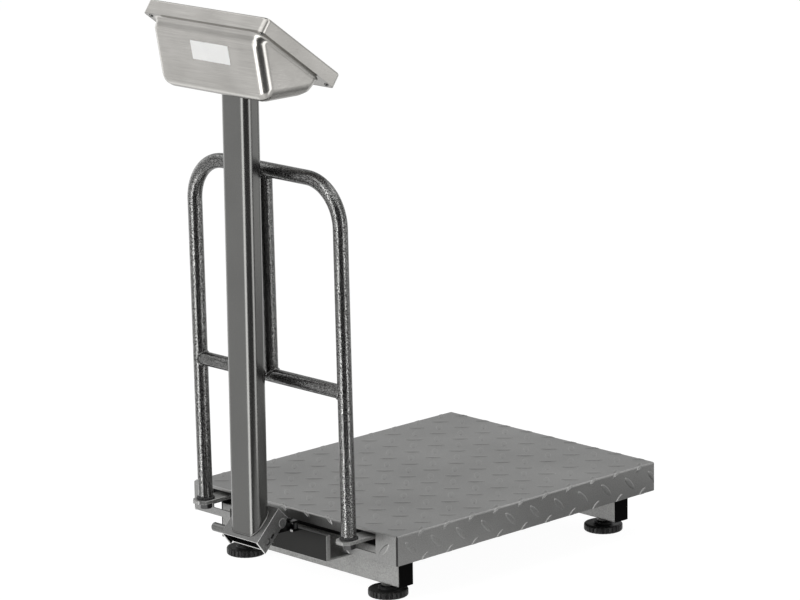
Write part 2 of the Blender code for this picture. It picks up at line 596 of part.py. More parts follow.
def build_shell(stainless):
    flange_back = -PANEL_RIM
    flange_front = flange_back + PANEL_SHEET
    margin = PANEL_SHEET + GAP
    flange_outline = rounded_rectangle(PANEL_WIDTH - 2 * margin, PANEL_SLOPE - 2 * margin,
                                       PANEL_CORNER - margin)
    shell = place('indicator_back_shell', prism(flange_outline, flange_back, flange_front, 'Z'), stainless)
    profile = [(PANEL_SLOPE / 2 - SHELL_TOP_INSET, flange_front - PANEL_SHEET / 3),
               panel_point(SHELL_BACK_REACH, SHELL_BACK_LIFT), panel_point(SHELL_FOOT_REACH, -SHELL_DROP),
               panel_point(SHELL_FRONT_REACH, -SHELL_DROP),
               (SHELL_LOW_INSET - PANEL_SLOPE / 2, flange_front - PANEL_SHEET / 3)]
    drawn = drawn_box(profile, SHELL_WIDTH, SHELL_ROUND)
    drawn_item = place('shell_drawn', drawn, None)
    cut(shell, drawn_item, 'UNION')
    inner_profile = inset_profile(profile, PANEL_SHEET)
    inner_profile[0] = (inner_profile[0][0], PANEL_SHEET)
    inner_profile[-1] = (inner_profile[-1][0], PANEL_SHEET)
    hollow = place('shell_hollow', drawn_box(inner_profile, SHELL_WIDTH - 2 * PANEL_SHEET,
                                             SHELL_ROUND - PANEL_SHEET), None)
    cut(shell, hollow)
    tilt(shell, drawn_item, hollow)


def drawn_box(profile, width, radius):
    """Extrudes a side view along X and rounds every edge but those of its open front."""
    builder = prism(profile, -width / 2, width / 2, 'X')
    front = max(point[1] for point in profile) - PANEL_SHEET / 10
    edges = [edge for edge in builder.edges
             if not all(vert.co.z > front for vert in edge.verts)]
    bmesh.ops.bevel(builder, geom=edges, offset=radius, segments=4, profile=0.5, affect='EDGES',
                    clamp_overlap=True)
    return builder


def inset_profile(profile, distance):
    """Moves each side of a clockwise or anticlockwise outline inwards by a distance."""
    count = len(profile)
    points = [Vector(point) for point in profile]
    area = sum(points[i].cross(points[(i + 1) % count]) for i in range(count))
    turn = 1 if area > 0 else -1
    moved = []
    for i in range(count):
        before = (points[i] - points[i - 1]).normalized()
        after = (points[(i + 1) % count] - points[i]).normalized()
        first = Vector((-before.y, before.x)) * turn
        second = Vector((-after.y, after.x)) * turn
        bisector = (first + second) / (1 + first.dot(second))
        moved.append(tuple(points[i] + bisector * distance))
    return moved


def build_panel(stainless, glass, dark_plastic, key_plastic, board_green):
    outside = rounded_rectangle(PANEL_WIDTH, PANEL_SLOPE, PANEL_CORNER)
    tray = place('indicator_front_panel', prism(outside, -PANEL_RIM, 0, 'Z'), stainless)
    inside = rounded_rectangle(PANEL_WIDTH - 2 * PANEL_SHEET, PANEL_SLOPE - 2 * PANEL_SHEET,
                               PANEL_CORNER - PANEL_SHEET)
    hollow = place('tray_hollow', prism(inside, -2 * PANEL_RIM, -PANEL_SHEET, 'Z'), None)
    cut(tray, hollow)
    window_centre = (0, WINDOW_OFFSET, -PANEL_SHEET / 2)
    opening_size = (WINDOW_WIDTH, WINDOW_HEIGHT, 4 * PANEL_SHEET)
    opening = place('window_opening', block(opening_size, window_centre), None)
    cut(tray, opening)
    glass_top = -GAP
    window = place('display_window', block((WINDOW_WIDTH - 2 * GAP, WINDOW_HEIGHT - 2 * GAP, WINDOW_GLASS),
                                           (0, WINDOW_OFFSET, glass_top - WINDOW_GLASS / 2)), glass)
    module_top = glass_top - WINDOW_GLASS - GAP
    module = place('display_module', block((WINDOW_WIDTH - 4 * GAP, WINDOW_HEIGHT - 4 * GAP, MODULE_DEPTH),
                                           (0, WINDOW_OFFSET, module_top - MODULE_DEPTH / 2)), dark_plastic)
    board = place('circuit_board', block((BOARD_WIDTH, BOARD_HEIGHT, BOARD_SHEET),
                                         (0, 0, -BOARD_DROP - BOARD_SHEET / 2)), board_green)
    tilt(tray, hollow, opening, window, module, board)
    for number in range(KEY_COUNT):
        x = (number - (KEY_COUNT - 1) / 2) * KEY_PITCH
        hole_size = (KEY_WIDTH + 2 * KEY_CLEARANCE, KEY_HEIGHT + 2 * KEY_CLEARANCE, 4 * PANEL_SHEET)
        hole = block(hole_size, (x, KEY_OFFSET, -PANEL_SHEET / 2))
        hole_item = place('key_opening_%d' % (number + 1), hole, None)
        cut(tray, hole_item)
        key = block((KEY_WIDTH, KEY_HEIGHT, KEY_BODY), (x, KEY_OFFSET, KEY_PROUD - KEY_BODY / 2), KEY_EDGE, 2)
        tilt(hole_item, place('key_%d' % (number + 1), key, key_plastic))
    battery_y = PANEL_Y + SHELL_FOOT_REACH - SHELL_ROUND - PANEL_SHEET - BATTERY_SIZE[1] / 2
    battery_z = COLUMN_TOP_Z + PANEL_SHEET + GAP + BATTERY_SIZE[2] / 2
    place('battery_pack', block(BATTERY_SIZE, (0, battery_y, battery_z)), dark_plastic)


def build():
    clear_scene()
    deck_grey = paint('deck_grey', (0.25, 0.25, 0.25), 0.6, 0.45)
    frame_grey = paint('frame_grey', (0.30, 0.30, 0.30), 0.5, 0.45)
    hammered = paint('hammered_grey', (0.14, 0.14, 0.14), 0.6, 0.35)
    column_grey = paint('column_grey', (0.15, 0.15, 0.145), 0.5, 0.35)
    zinc = paint('zinc', (0.45, 0.45, 0.45), 1.0, 0.35)
    aluminium = paint('aluminium', (0.70, 0.70, 0.70), 1.0, 0.35)
    stainless = paint('brushed_stainless', (0.55, 0.53, 0.50), 1.0, 0.30)
    black = paint('black_plastic', (0.015, 0.015, 0.015), 0.0, 0.5)
    key_plastic = paint('key_plastic', (0.55, 0.57, 0.60), 0.0, 0.5)
    glass = paint('display_glass', (0.05, 0.06, 0.06), 0.0, 0.1)
    board_green = paint('board_green', (0.02, 0.16, 0.06), 0.0, 0.5)
    build_pan(deck_grey)
    build_base(frame_grey, black)
    build_feet(black, zinc)
    build_load_cell(aluminium, zinc, frame_grey)
    build_rail(hammered, zinc)
    build_column(column_grey, zinc)
    build_channel(column_grey)
    build_shell(stainless)
    build_panel(stainless, glass, black, key_plastic, board_green)


build()
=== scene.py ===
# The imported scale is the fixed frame: every piece below is in metres, on the frame's own axes.
import math

import bmesh
import bpy
from mathutils import Matrix, Vector


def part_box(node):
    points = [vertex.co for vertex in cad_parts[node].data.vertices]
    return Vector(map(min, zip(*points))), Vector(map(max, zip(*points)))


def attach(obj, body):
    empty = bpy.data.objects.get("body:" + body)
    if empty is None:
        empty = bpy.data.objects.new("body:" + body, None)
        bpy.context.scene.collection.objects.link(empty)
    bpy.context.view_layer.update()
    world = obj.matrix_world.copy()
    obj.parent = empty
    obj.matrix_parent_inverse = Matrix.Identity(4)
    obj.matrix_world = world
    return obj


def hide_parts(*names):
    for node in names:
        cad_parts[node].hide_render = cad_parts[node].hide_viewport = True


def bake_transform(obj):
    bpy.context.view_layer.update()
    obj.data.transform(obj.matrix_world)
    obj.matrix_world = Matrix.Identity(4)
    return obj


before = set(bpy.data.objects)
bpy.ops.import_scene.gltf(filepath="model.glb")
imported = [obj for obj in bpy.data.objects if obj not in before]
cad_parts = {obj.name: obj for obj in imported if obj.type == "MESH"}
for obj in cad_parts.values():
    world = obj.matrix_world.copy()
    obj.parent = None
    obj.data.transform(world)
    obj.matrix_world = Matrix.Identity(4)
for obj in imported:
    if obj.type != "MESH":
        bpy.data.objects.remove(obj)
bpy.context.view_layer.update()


# The base: two rectangular steel tubes across the scale, tied by a flat box spine.
# They are welded, then sprayed with a light grey metallic paint that dries with a fine grain.
TUBE_EDGE = 0.0009
FLAT_ANGLE, SHARP_ANGLE = math.radians(1), math.radians(30)
EASE_LENGTH = 6
SAME_SPOT = 1e-6
FACING = 0.9
FLAT_WEIGHT = 80


class Wire:
    """A value in a finish's node tree. Sums of wires add Math nodes, and add() makes any other node."""

    def __init__(self, tree, socket=None):
        self.tree = tree
        self.socket = socket

    def add(self, kind, settings=None, sockets=None, out=0):
        node = self.tree.nodes.new("ShaderNode" + kind)
        for name, value in (settings or {}).items():
            if name == "stops":
                while len(node.color_ramp.elements) < len(value):
                    node.color_ramp.elements.new(1.0)
                for element, (place, shade) in zip(node.color_ramp.elements, value):
                    element.position = place
                    element.color = (shade, shade, shade, 1)
            else:
                setattr(node, name, value)
        for name, value in (sockets or {}).items():
            if isinstance(value, Wire):
                self.tree.links.new(value.socket, node.inputs[name])
            else:
                node.inputs[name].default_value = value
        return Wire(self.tree, node.outputs[out] if len(node.outputs) else None)

    def sum(self, operation, first, second):
        return self.add("Math", {"operation": operation}, {0: first, 1: second})

    def __add__(self, other):
        return self.sum("ADD", self, other)

    def __radd__(self, other):
        return self.sum("ADD", other, self)

    def __sub__(self, other):
        return self.sum("SUBTRACT", self, other)

    def __rsub__(self, other):
        return self.sum("SUBTRACT", other, self)

    def __mul__(self, other):
        return self.sum("MULTIPLY", self, other)

    def __rmul__(self, other):
        return self.sum("MULTIPLY", other, self)

    def __truediv__(self, other):
        return self.sum("DIVIDE", self, other)

    def __rtruediv__(self, other):
        return self.sum("DIVIDE", other, self)

    def __gt__(self, other):
        return self.sum("GREATER_THAN", self, other)

    def __lt__(self, other):
        return self.sum("LESS_THAN", self, other)


def start_finish(name):
    finish = bpy.data.materials.new(name)
    finish.use_nodes = True
    finish.node_tree.nodes.clear()
    return finish, Wire(finish.node_tree)


def close_finish(tree, sockets):
    tree.add("OutputMaterial", None, {"Surface": tree.add("BsdfPrincipled", None, sockets)})


def noise(tree, scale, detail, stretch=None):
    place = tree.add("TexCoord", None, None, "Object")
    if stretch:
        place = tree.add("VectorMath", {"operation": "MULTIPLY"}, {0: place, 1: stretch})
    return tree.add("TexNoise", None, {"Vector": place, "Scale": scale, "Detail": detail})


def blend_colours(tree, amount, low, high):
    return tree.add("Mix", {"data_type": "RGBA"}, {0: amount, 6: (*low, 1), 7: (*high, 1)}, 2)


def relief(tree, height, depth, strength):
    return tree.add("Bump", None, {"Height": height, "Distance": depth, "Strength": strength})


def sprayed_grey(name, dark, light, metallic, roughness):
    finish, tree = start_finish(name)
    grain = noise(tree, scale=620, detail=4)
    cloud = noise(tree, scale=14, detail=3)
    amount = grain * 1.7 + cloud * 0.6 - 0.65
    close_finish(tree, {"Base Color": blend_colours(tree, amount, dark, light), "Metallic": metallic,
                        "Roughness": roughness - 0.06 + grain * 0.12,
                        "Normal": relief(tree, grain, depth=0.0002, strength=0.35)})
    return finish


def coat_node(name, finish):
    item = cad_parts[name]
    item.data.materials.clear()
    item.data.materials.append(finish)


base_grey = sprayed_grey("base_grey", (0.21, 0.21, 0.205), (0.43, 0.43, 0.42), 0.5, 0.42)
# A near-black grey used as painted shade: it darkens faces that sit in the dark under and inside the pan.
painted_shade_grey = sprayed_grey("painted_shade_grey", (0.012, 0.012, 0.012), (0.035, 0.035, 0.034), 0.2, 0.6)


def new_item(name, builder):
    """Turns a builder into an object of the scene."""
    mesh = bpy.data.meshes.new(name)
    builder.to_mesh(mesh)
    builder.free()
    item = bpy.data.objects.new(name, mesh)
    bpy.context.scene.collection.objects.link(item)
    return item


def make_piece(name, builder, finish, body, replaces=(), smooth=35):
    """Makes a piece with its finish, smooth up to an angle. It rides on a CAD body, if one is named."""
    bmesh.ops.recalc_face_normals(builder, faces=builder.faces)
    item = new_item(name, builder)
    item.data.shade_smooth()
    item.data.set_sharp_from_angle(angle=math.radians(smooth))
    item.data.materials.append(finish)
    level = item.modifiers.new("even_flats", "WEIGHTED_NORMAL")
    level.keep_sharp = True
    level.weight = FLAT_WEIGHT
    if body:
        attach(item, body)
    if replaces:
        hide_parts(*replaces)
    return item


def eased(node, edge):
    """A node's own shape with its sharp edges broken by a small round, so that they catch the light."""
    builder = bmesh.new()
    builder.from_mesh(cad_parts[node].data)
    bmesh.ops.remove_doubles(builder, verts=builder.verts, dist=SAME_SPOT)
    bmesh.ops.dissolve_limit(builder, angle_limit=FLAT_ANGLE, verts=builder.verts, edges=builder.edges)
    sharp = [line for line in builder.edges if len(line.link_faces) == 2
             and line.calc_face_angle() > SHARP_ANGLE and line.calc_length() > EASE_LENGTH * edge]
    bmesh.ops.bevel(builder, geom=sharp, offset=edge, segments=2, profile=0.5, affect="EDGES",
                    clamp_overlap=True)
    return builder


def recoat(item, finish, chosen):
    """Gives a second finish to the faces of a piece that a test picks."""
    item.data.materials.append(finish)
    for face in item.data.polygons:
        if chosen(face):
            face.material_index = len(item.data.materials) - 1


for end in ("rear", "front"):
    node = "base_cross_tube_" + end
    tube = make_piece("cross_tube_" + end, eased(node, TUBE_EDGE), base_grey, "base", [node])
    # The tubes' top faces under the pan, and the whole spine, get the near-black grey as painted shade.
    recoat(tube, painted_shade_grey, lambda face: face.normal.z > FACING)
coat_node("base_spine", painted_shade_grey)


# Black moulded plugs close the ends of the cross tubes.
# Each has a thin face with softened edges and a spigot pushed into the tube.
CORNERS = [end + "_" + side for end in ("rear", "front") for side in ("left", "right")]
PLUG_EDGE = 0.0008
PLUG_FACE = 0.002
PLUG_SPIGOT, SPIGOT_START = 0.0115, 0.0015
PLUG_WALL = 0.0024


def moulded_black(name, shade, roughness, sheen):
    finish, tree = start_finish(name)
    pebble = noise(tree, scale=1500, detail=2)
    cloud = noise(tree, scale=60, detail=3)
    dark, light = (shade * 0.7,) * 3, (shade * 1.5,) * 3
    close_finish(tree, {"Base Color": blend_colours(tree, cloud, dark, light), "Specular IOR Level": sheen,
                        "Roughness": roughness - 0.1 + cloud * 0.2,
                        "Normal": relief(tree, pebble, depth=0.0001, strength=0.5)})
    return finish


def box(size, centre, edge=0.0, segments=3):
    builder = bmesh.new()
    bmesh.ops.create_cube(builder, size=1)
    bmesh.ops.scale(builder, vec=size, verts=builder.verts)
    if edge:
        bmesh.ops.bevel(builder, geom=builder.edges[:], offset=edge, segments=segments, profile=0.5,
                        affect="EDGES")
    bmesh.ops.translate(builder, vec=centre, verts=builder.verts)
    return builder


def add_to(builder, other):
    """Copies another mesh into a builder as a shell of its own."""
    mesh = bpy.data.meshes.new("joined")
    other.to_mesh(mesh)
    other.free()
    builder.from_mesh(mesh)
    bpy.data.meshes.remove(mesh)


plug_black = moulded_black("plug_black", 0.0016, 0.8, 0.05)
for corner in CORNERS:
    low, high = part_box("end_plug_" + corner)
    middle = (low + high) / 2
    wide, tall = high.y - low.y, high.z - low.z
    out = 1 if corner.endswith("left") else -1
    face_x = high.x if out > 0 else low.x
    plug = box((PLUG_FACE, wide, tall), (face_x - out * PLUG_FACE / 2, middle.y, middle.z), PLUG_EDGE)
    spigot_x = face_x - out * (SPIGOT_START + PLUG_SPIGOT / 2)
    add_to(plug, box((PLUG_SPIGOT, wide - 2 * PLUG_WALL, tall - 2 * PLUG_WALL), (spigot_x, middle.y, middle.z),
                     PLUG_EDGE))
    make_piece("tube_plug_" + corner, plug, plug_black, "base", ["end_plug_" + corner])


# Levelling feet: a black fluted pad that turns by hand, moulded round a dark screw.
# The screw has a hex collar above the pad and a rolled 1.5 mm thread that runs up into the tube.
FLUTES = 30
FLUTE_STEPS = 8
FLUTE_DEPTH = 0.0011
FLUTE_POWER = 0.7
PAD_PROFILE = ((0.0, 0.0222, 0.0), (0.0, 0.0246, 0.3), (0.0006, 0.0261, 0.8), (0.0016, 0.0269, 1.0),
               (0.0030, 0.0270, 1.0), (0.0075, 0.0270, 1.0), (0.0088, 0.0268, 1.0), (0.0098, 0.0259, 0.7),
               (0.0104, 0.0244, 0.2), (0.0106, 0.0228, 0.0), (0.0102, 0.0212, 0.0), (0.0100, 0.0150, 0.0),
               (0.0104, 0.0136, 0.0), (0.0112, 0.0130, 0.0), (0.0130, 0.0130, 0.0), (0.0135, 0.0125, 0.0))
COLLAR_LOW, COLLAR_HIGH = 0.0138, 0.0187
COLLAR_FLATS = 0.017
COLLAR_CHAMFER = 0.0007
HEX_STEPS = 48
SCREW_TOP = 0.055
SCREW_RADIUS = 0.005
THREAD_DEPTH = 0.0006
THREAD_PITCH = 0.0015
THREAD_SINK = 0.0005
THREAD_ROWS = 6
THREAD_SIDES = 24


def stack_rings(builder, rings, cap=True):
    """Joins rings of points, all of one count, with faces, and closes the first and last."""
    loops = [[builder.verts.new(point) for point in ring] for ring in rings]
    count = len(loops[0])
    for lower, upper in zip(loops, loops[1:]):
        for step in range(count):
            follow = (step + 1) % count
            builder.faces.new((lower[step], lower[follow], upper[follow], upper[step]))
    if cap:
        builder.faces.new(loops[0])
        builder.faces.new(loops[-1])
    return loops


def turns(count):
    """The angles of equal steps round a circle."""
    return [2 * math.pi * step / count for step in range(count)]


def polar(reach, angle):
    return reach * math.cos(angle), reach * math.sin(angle)


def hex_ring(flats, height, round_to):
    """A hexagon's outline with its corners cut back to a circle, as a turned chamfer does."""
    points = []
    for angle in turns(HEX_STEPS):
        reach = flats / 2 / math.cos((angle + math.pi / 6) % (math.pi / 3) - math.pi / 6)
        points.append((*polar(min(reach, round_to), angle), height))
    return points


def plated(name, dark, light, roughness):
    finish, tree = start_finish(name)
    cloud = noise(tree, scale=90, detail=4)
    scratch = noise(tree, scale=500, detail=2, stretch=(1, 1, 0.15))
    close_finish(tree, {"Base Color": blend_colours(tree, cloud, dark, light), "Metallic": 1.0,
                        "Roughness": roughness - 0.08 + scratch * 0.16,
                        "Normal": relief(tree, scratch, depth=0.0001, strength=0.25)})
    return finish


pad_black = moulded_black("pad_black", 0.011, 0.42, 0.25)
zinc = plated("zinc", (0.34, 0.34, 0.33), (0.56, 0.56, 0.55), 0.32)
screw_dark = plated("screw_dark", (0.035, 0.035, 0.034), (0.085, 0.085, 0.083), 0.38)
for corner in CORNERS:
    low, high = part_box("foot_pad_" + corner)
    centre = ((low.x + high.x) / 2, (low.y + high.y) / 2, 0)
    pad = bmesh.new()
    rings = []
    for height, radius, flute in PAD_PROFILE:
        ring = []
        for angle in turns(FLUTES * FLUTE_STEPS):
            groove = max(0.0, -math.cos(angle * FLUTES)) ** FLUTE_POWER
            ring.append((*polar(radius - FLUTE_DEPTH * flute * groove, angle), height))
        rings.append(ring)
    stack_rings(pad, rings)
    bmesh.ops.translate(pad, vec=centre, verts=pad.verts)
    make_piece("foot_knob_" + corner, pad, pad_black, "pad_" + corner, ["foot_pad_" + corner])

    screw = bmesh.new()
    corner_reach = COLLAR_FLATS / math.sqrt(3)
    stack_rings(screw, [hex_ring(COLLAR_FLATS, COLLAR_LOW, COLLAR_FLATS / 2),
                        hex_ring(COLLAR_FLATS, COLLAR_LOW + COLLAR_CHAMFER, corner_reach),
                        hex_ring(COLLAR_FLATS, COLLAR_HIGH - COLLAR_CHAMFER, corner_reach),
                        hex_ring(COLLAR_FLATS, COLLAR_HIGH, COLLAR_FLATS / 2)])
    thread = []
    row_count = round((SCREW_TOP - COLLAR_HIGH) / THREAD_PITCH * THREAD_ROWS)
    for row in range(row_count + 1):
        height = COLLAR_HIGH - THREAD_SINK + row * THREAD_PITCH / THREAD_ROWS
        ring = []
        for step, angle in enumerate(turns(THREAD_SIDES)):
            phase = (height / THREAD_PITCH - step / THREAD_SIDES) % 1
            ring.append((*polar(SCREW_RADIUS - THREAD_DEPTH * abs(2 * phase - 1), angle), height))
        thread.append(ring)
    stack_rings(screw, thread)
    bmesh.ops.translate(screw, vec=centre, verts=screw.verts)
    make_piece("foot_screw_" + corner, screw, screw_dark, "stem_" + corner, ["foot_stem_" + corner],
               smooth=30)


# The weighing element: one milled aluminium beam between two steel spacers, on the spine. It bends
# between its eyes under a load. Four plated studs stand under the load frame as stops.
CELL_EDGE = 0.0006
CELL_BEND = 0.0225
CELL_CUTS = (-1.0, -0.5, 0.0, 0.5, 1.0)


def milled(name, shade):
    finish, tree = start_finish(name)
    mill = noise(tree, scale=260, detail=3, stretch=(1, 0.06, 1))
    low, high = (shade * 0.82,) * 3, (shade,) * 3
    close_finish(tree, {"Base Color": blend_colours(tree, mill, low, high), "Metallic": 1.0,
                        "Roughness": 0.26 + mill * 0.2, "Normal": relief(tree, mill, depth=0.0001, strength=0.3)})
    return finish


def slice_at(builder, place, facing, drop=False):
    """Cuts a builder's faces along a plane. What lies on the side it faces can be dropped."""
    parts = builder.verts[:] + builder.edges[:] + builder.faces[:]
    bmesh.ops.bisect_plane(builder, geom=parts, plane_co=place, plane_no=facing, clear_outer=drop)


beam = eased("load_cell", CELL_EDGE)
low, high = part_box("load_cell")
cell_middle = (low + high) / 2
bend_reach = Vector((0, CELL_BEND, 0))
for share in CELL_CUTS:
    slice_at(beam, cell_middle + bend_reach * share, (0, 1, 0))
cell = make_piece("load_cell_beam", beam, milled("milled_aluminium", 0.72), None, ["load_cell"])
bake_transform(cell)
for node in ["load_cell_lower_spacer", "load_cell_upper_spacer"] + ["overload_stop_" + spot for spot in CORNERS]:
    coat_node(node, zinc)


# The load frame is a welded grid of flat bars that hangs on the beam and carries the pan.
# The pan is one sheet of tread plate, cut at the back for the rail lugs and the column's channel,
# folded down on four sides with an open seam at each corner, and sprayed silver grey. The seam is not
# cut: its gap is a dark line painted on the corner's bend as painted shade.
PAN_LOW, PAN_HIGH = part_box("platform_pan")
PAN_SHEET = 0.002
PAN_SKIN = PAN_SHEET * 0.7
PAN_BEND, PAN_BEND_STEPS = 0.003, 6
SEAM_SHADE_LEAN = 0.2
LUG_X = 0.141
LUG_CUT = 0.038
LUG_CUT_TOP, LUG_CUT_LOW = 0.004, 0.031
NOTCH_WIDTH = 0.186
NOTCH_TOP, NOTCH_DEEP = 0.015, 0.05
CUT_THROUGH = 0.01
OVERSIZE = 1.1


def blank_item(builder):
    """A builder as a passing object, for modifiers to work on."""
    bmesh.ops.recalc_face_normals(builder, faces=builder.faces)
    return new_item("blank", builder)


def worked(item):
    """What a passing object is after its modifiers, as a new builder."""
    graph = bpy.context.evaluated_depsgraph_get()
    builder = bmesh.new()
    builder.from_mesh(bpy.data.meshes.new_from_object(item.evaluated_get(graph)))
    bpy.data.objects.remove(item)
    return builder


def carved(builder, cutters, operation="DIFFERENCE"):
    """A builder cut or joined with other builders, as a new builder."""
    item = blank_item(builder)
    tools = [blank_item(cutter) for cutter in cutters]
    for tool in tools:
        change = item.modifiers.new("cut", "BOOLEAN")
        change.operation = operation
        change.object = tool
    result = worked(item)
    for tool in tools:
        bpy.data.objects.remove(tool)
    return result


# The load frame sits under the pan and is coated in the near-black grey as painted shade.
coat_node("load_frame", painted_shade_grey)
pan_middle = (PAN_LOW + PAN_HIGH) / 2
pan_size = PAN_HIGH - PAN_LOW
deck_top = PAN_HIGH.z
rear_y = PAN_HIGH.y
pan = box((pan_size.x, pan_size.y, pan_size.z + 2 * PAN_BEND),
          (0, pan_middle.y, deck_top - pan_size.z / 2 - PAN_BEND), PAN_BEND, PAN_BEND_STEPS)
pan_cuts = [box((pan_size.x - 2 * PAN_SHEET, pan_size.y - 2 * PAN_SHEET, pan_size.z + 2 * PAN_BEND),
                (0, pan_middle.y, deck_top - PAN_SHEET - pan_size.z / 2 - PAN_BEND)),
            box((pan_size.x * OVERSIZE, pan_size.y * OVERSIZE, 4 * PAN_BEND),
                (0, pan_middle.y, PAN_LOW.z - 2 * PAN_BEND)),
            box((NOTCH_WIDTH, CUT_THROUGH, NOTCH_DEEP), (0, rear_y, deck_top - NOTCH_TOP - NOTCH_DEEP / 2))]
for side in (1, -1):
    pan_cuts.append(box((LUG_CUT, CUT_THROUGH, LUG_CUT_LOW - LUG_CUT_TOP),
                        (side * LUG_X, rear_y, deck_top - (LUG_CUT_TOP + LUG_CUT_LOW) / 2)))
pan = carved(pan, pan_cuts)


def tread_paint(name):
    finish, tree = start_finish(name)
    grain = noise(tree, scale=640, detail=4)
    cloud = noise(tree, scale=9, detail=4)
    amount = grain * 1.2 + cloud * 0.9 - 0.55
    close_finish(tree, {"Base Color": blend_colours(tree, amount, (0.20, 0.20, 0.196), (0.36, 0.36, 0.354)),
                        "Metallic": 0.75, "Roughness": 0.28 + grain * 0.10,
                        "Normal": relief(tree, grain, depth=0.0002, strength=0.25)})
    return finish


deck_grey = tread_paint("deck_grey")
plate_item = make_piece("tread_plate", pan, deck_grey, "platform", ["platform_pan"])
# Painted shade: the rounding of each vertical corner is painted near black for the seam's gap, and the sheet's inner
# faces are painted near black for the dark under the pan.
recoat(plate_item, painted_shade_grey, lambda face: min(abs(face.normal.x), abs(face.normal.y)) > SEAM_SHADE_LEAN)
recoat(plate_item, painted_shade_grey, lambda face: abs(face.center.x) < pan_size.x / 2 - PAN_SKIN
       and abs(face.center.y - pan_middle.y) < pan_size.y / 2 - PAN_SKIN and face.center.z < deck_top - PAN_SKIN)


# The tread: raised lens bars rolled into the sheet, in rows that lean in turn to one diagonal and
# the other. They were there before the sheet was folded, so they run round its bends and down the skirts.
BAR_LENGTH = 0.0265
BAR_WIDTH = 0.0084
BAR_HEIGHT = 0.0007
BAR_ACROSS, BAR_ALONG = 0.0433, 0.0470
BAR_START = (-0.0026, -0.0100)
BAR_COLUMNS, BAR_ROWS = 12, 14
BAR_TURN = math.radians(45)
BAR_REACH = BAR_LENGTH * 0.38
BAR_POINT = 1.6
BAR_SIDES = 24
BEND_PRESS = 0.75
BAR_RINGS = ((1.0, -0.25), (1.0, 0.0), (0.90, 0.45), (0.74, 0.80), (0.52, 0.96), (0.26, 1.0))


def fold(reach, half):
    """Distance from the deck's middle along the flat sheet, as distance out, drop and tilt after folding."""
    side = 1 if reach >= 0 else -1
    flat = half - PAN_BEND
    past = abs(reach) - flat
    arc = PAN_BEND * math.pi / 2
    if past <= 0:
        return reach, 0.0, 0.0
    if past < arc:
        angle = past / PAN_BEND
        return side * (flat + PAN_BEND * math.sin(angle)), PAN_BEND * (1 - math.cos(angle)), side * angle
    return side * half, PAN_BEND + past - arc, side * math.pi / 2


def on_sheet(x, y, lift):
    """A point of the flat tread sheet, lifted off it, on the folded pan; bars stop short of a corner seam."""
    out_x, drop_x, lean_x = fold(x, pan_size.x / 2)
    out_y, drop_y, lean_y = fold(y, pan_size.y / 2)
    if drop_x and drop_y:
        if drop_x > drop_y:
            out_y, drop_y, lean_y = math.copysign(pan_size.y / 2 - PAN_BEND, y), 0.0, 0.0
        else:
            out_x, drop_x, lean_x = math.copysign(pan_size.x / 2 - PAN_BEND, x), 0.0, 0.0
    drop = drop_x + drop_y
    normal = Vector((math.sin(lean_x), math.sin(lean_y), math.cos(lean_x) * math.cos(lean_y)))
    pressed = 1 - BEND_PRESS * max(abs(math.sin(2 * lean_x)), abs(math.sin(2 * lean_y)))
    return Vector((out_x, pan_middle.y + out_y, deck_top - drop)) + normal * lift * pressed


def clear_of_cuts(x, depth):
    """Whether a bar at this place and depth on the rear skirt misses the two windows and the notch."""
    for side in (1, -1):
        if abs(x - side * LUG_X) < LUG_CUT / 2 + BAR_REACH and depth > LUG_CUT_TOP - BAR_REACH:
            return False
    return not (abs(x) < NOTCH_WIDTH / 2 + BAR_REACH and depth > NOTCH_TOP - BAR_REACH)


flat_to_skirt = PAN_BEND * (math.pi / 2 - 1)
tread = bmesh.new()
for column in range(-BAR_COLUMNS, BAR_COLUMNS + 1):
    for row in range(-BAR_ROWS, BAR_ROWS + 1):
        if (column + row) % 2:
            continue
        middle_x = BAR_START[0] + column * BAR_ACROSS / 2
        middle_y = BAR_START[1] + row * BAR_ALONG / 2
        turn = BAR_TURN if column % 2 == 0 else -BAR_TURN
        depth_x = abs(middle_x) - pan_size.x / 2 - flat_to_skirt
        depth_y = abs(middle_y) - pan_size.y / 2 - flat_to_skirt
        if max(depth_x, depth_y) > pan_size.z + BAR_REACH / 2 or min(depth_x, depth_y) > -BAR_REACH / 2:
            continue
        if middle_y > 0 and not clear_of_cuts(middle_x, depth_y):
            continue
        rings = []
        for shrink, lift in BAR_RINGS:
            half_long = BAR_LENGTH / 2 * (1 - (1 - shrink) * BAR_WIDTH / BAR_LENGTH * BAR_POINT)
            ring = []
            for angle in turns(BAR_SIDES):
                long = half_long * math.cos(angle)
                wide = BAR_WIDTH / 2 * shrink * math.sin(angle)
                x = middle_x + long * math.cos(turn) - wide * math.sin(turn)
                y = middle_y + long * math.sin(turn) + wide * math.cos(turn)
                ring.append(on_sheet(x, y, lift * BAR_HEIGHT))
            rings.append(ring)
        stack_rings(tread, rings)
slice_at(tread, (0, 0, PAN_LOW.z), (0, 0, -1), drop=True)
bmesh.ops.holes_fill(tread, edges=[line for line in tread.edges if line.is_boundary], sides=0)
bmesh.ops.dissolve_degenerate(tread, edges=tread.edges, dist=SAME_SPOT)
make_piece("tread_bars", tread, deck_grey, "platform", smooth=75)


# The guard rail: one steel tube bent into a hoop, with a crossbar and a centre post welded in.
# It is sprayed with dark hammered paint and stands on two flat lugs bolted from below.
LEG_X = LUG_X
RAIL_RADIUS = 0.010
RAIL_BAR_RADIUS = 0.0095
RAIL_BEND = 0.060
RAIL_TOP = 0.4762
RAIL_BAR = 0.1977
RAIL_SIDES = 32
RAIL_STEPS, LEG_STEPS = 24, 20
RAIL_FOOT = Vector((0, rear_y + 0.030, 0.0933))
RAIL_LEAN = math.radians(0.8)
rail_place = Matrix.Translation(RAIL_FOOT) @ Matrix.Rotation(-RAIL_LEAN, 4, "X")


def ramp(tree, value, stops):
    return tree.add("ValToRGB", {"stops": stops}, {"Fac": value})


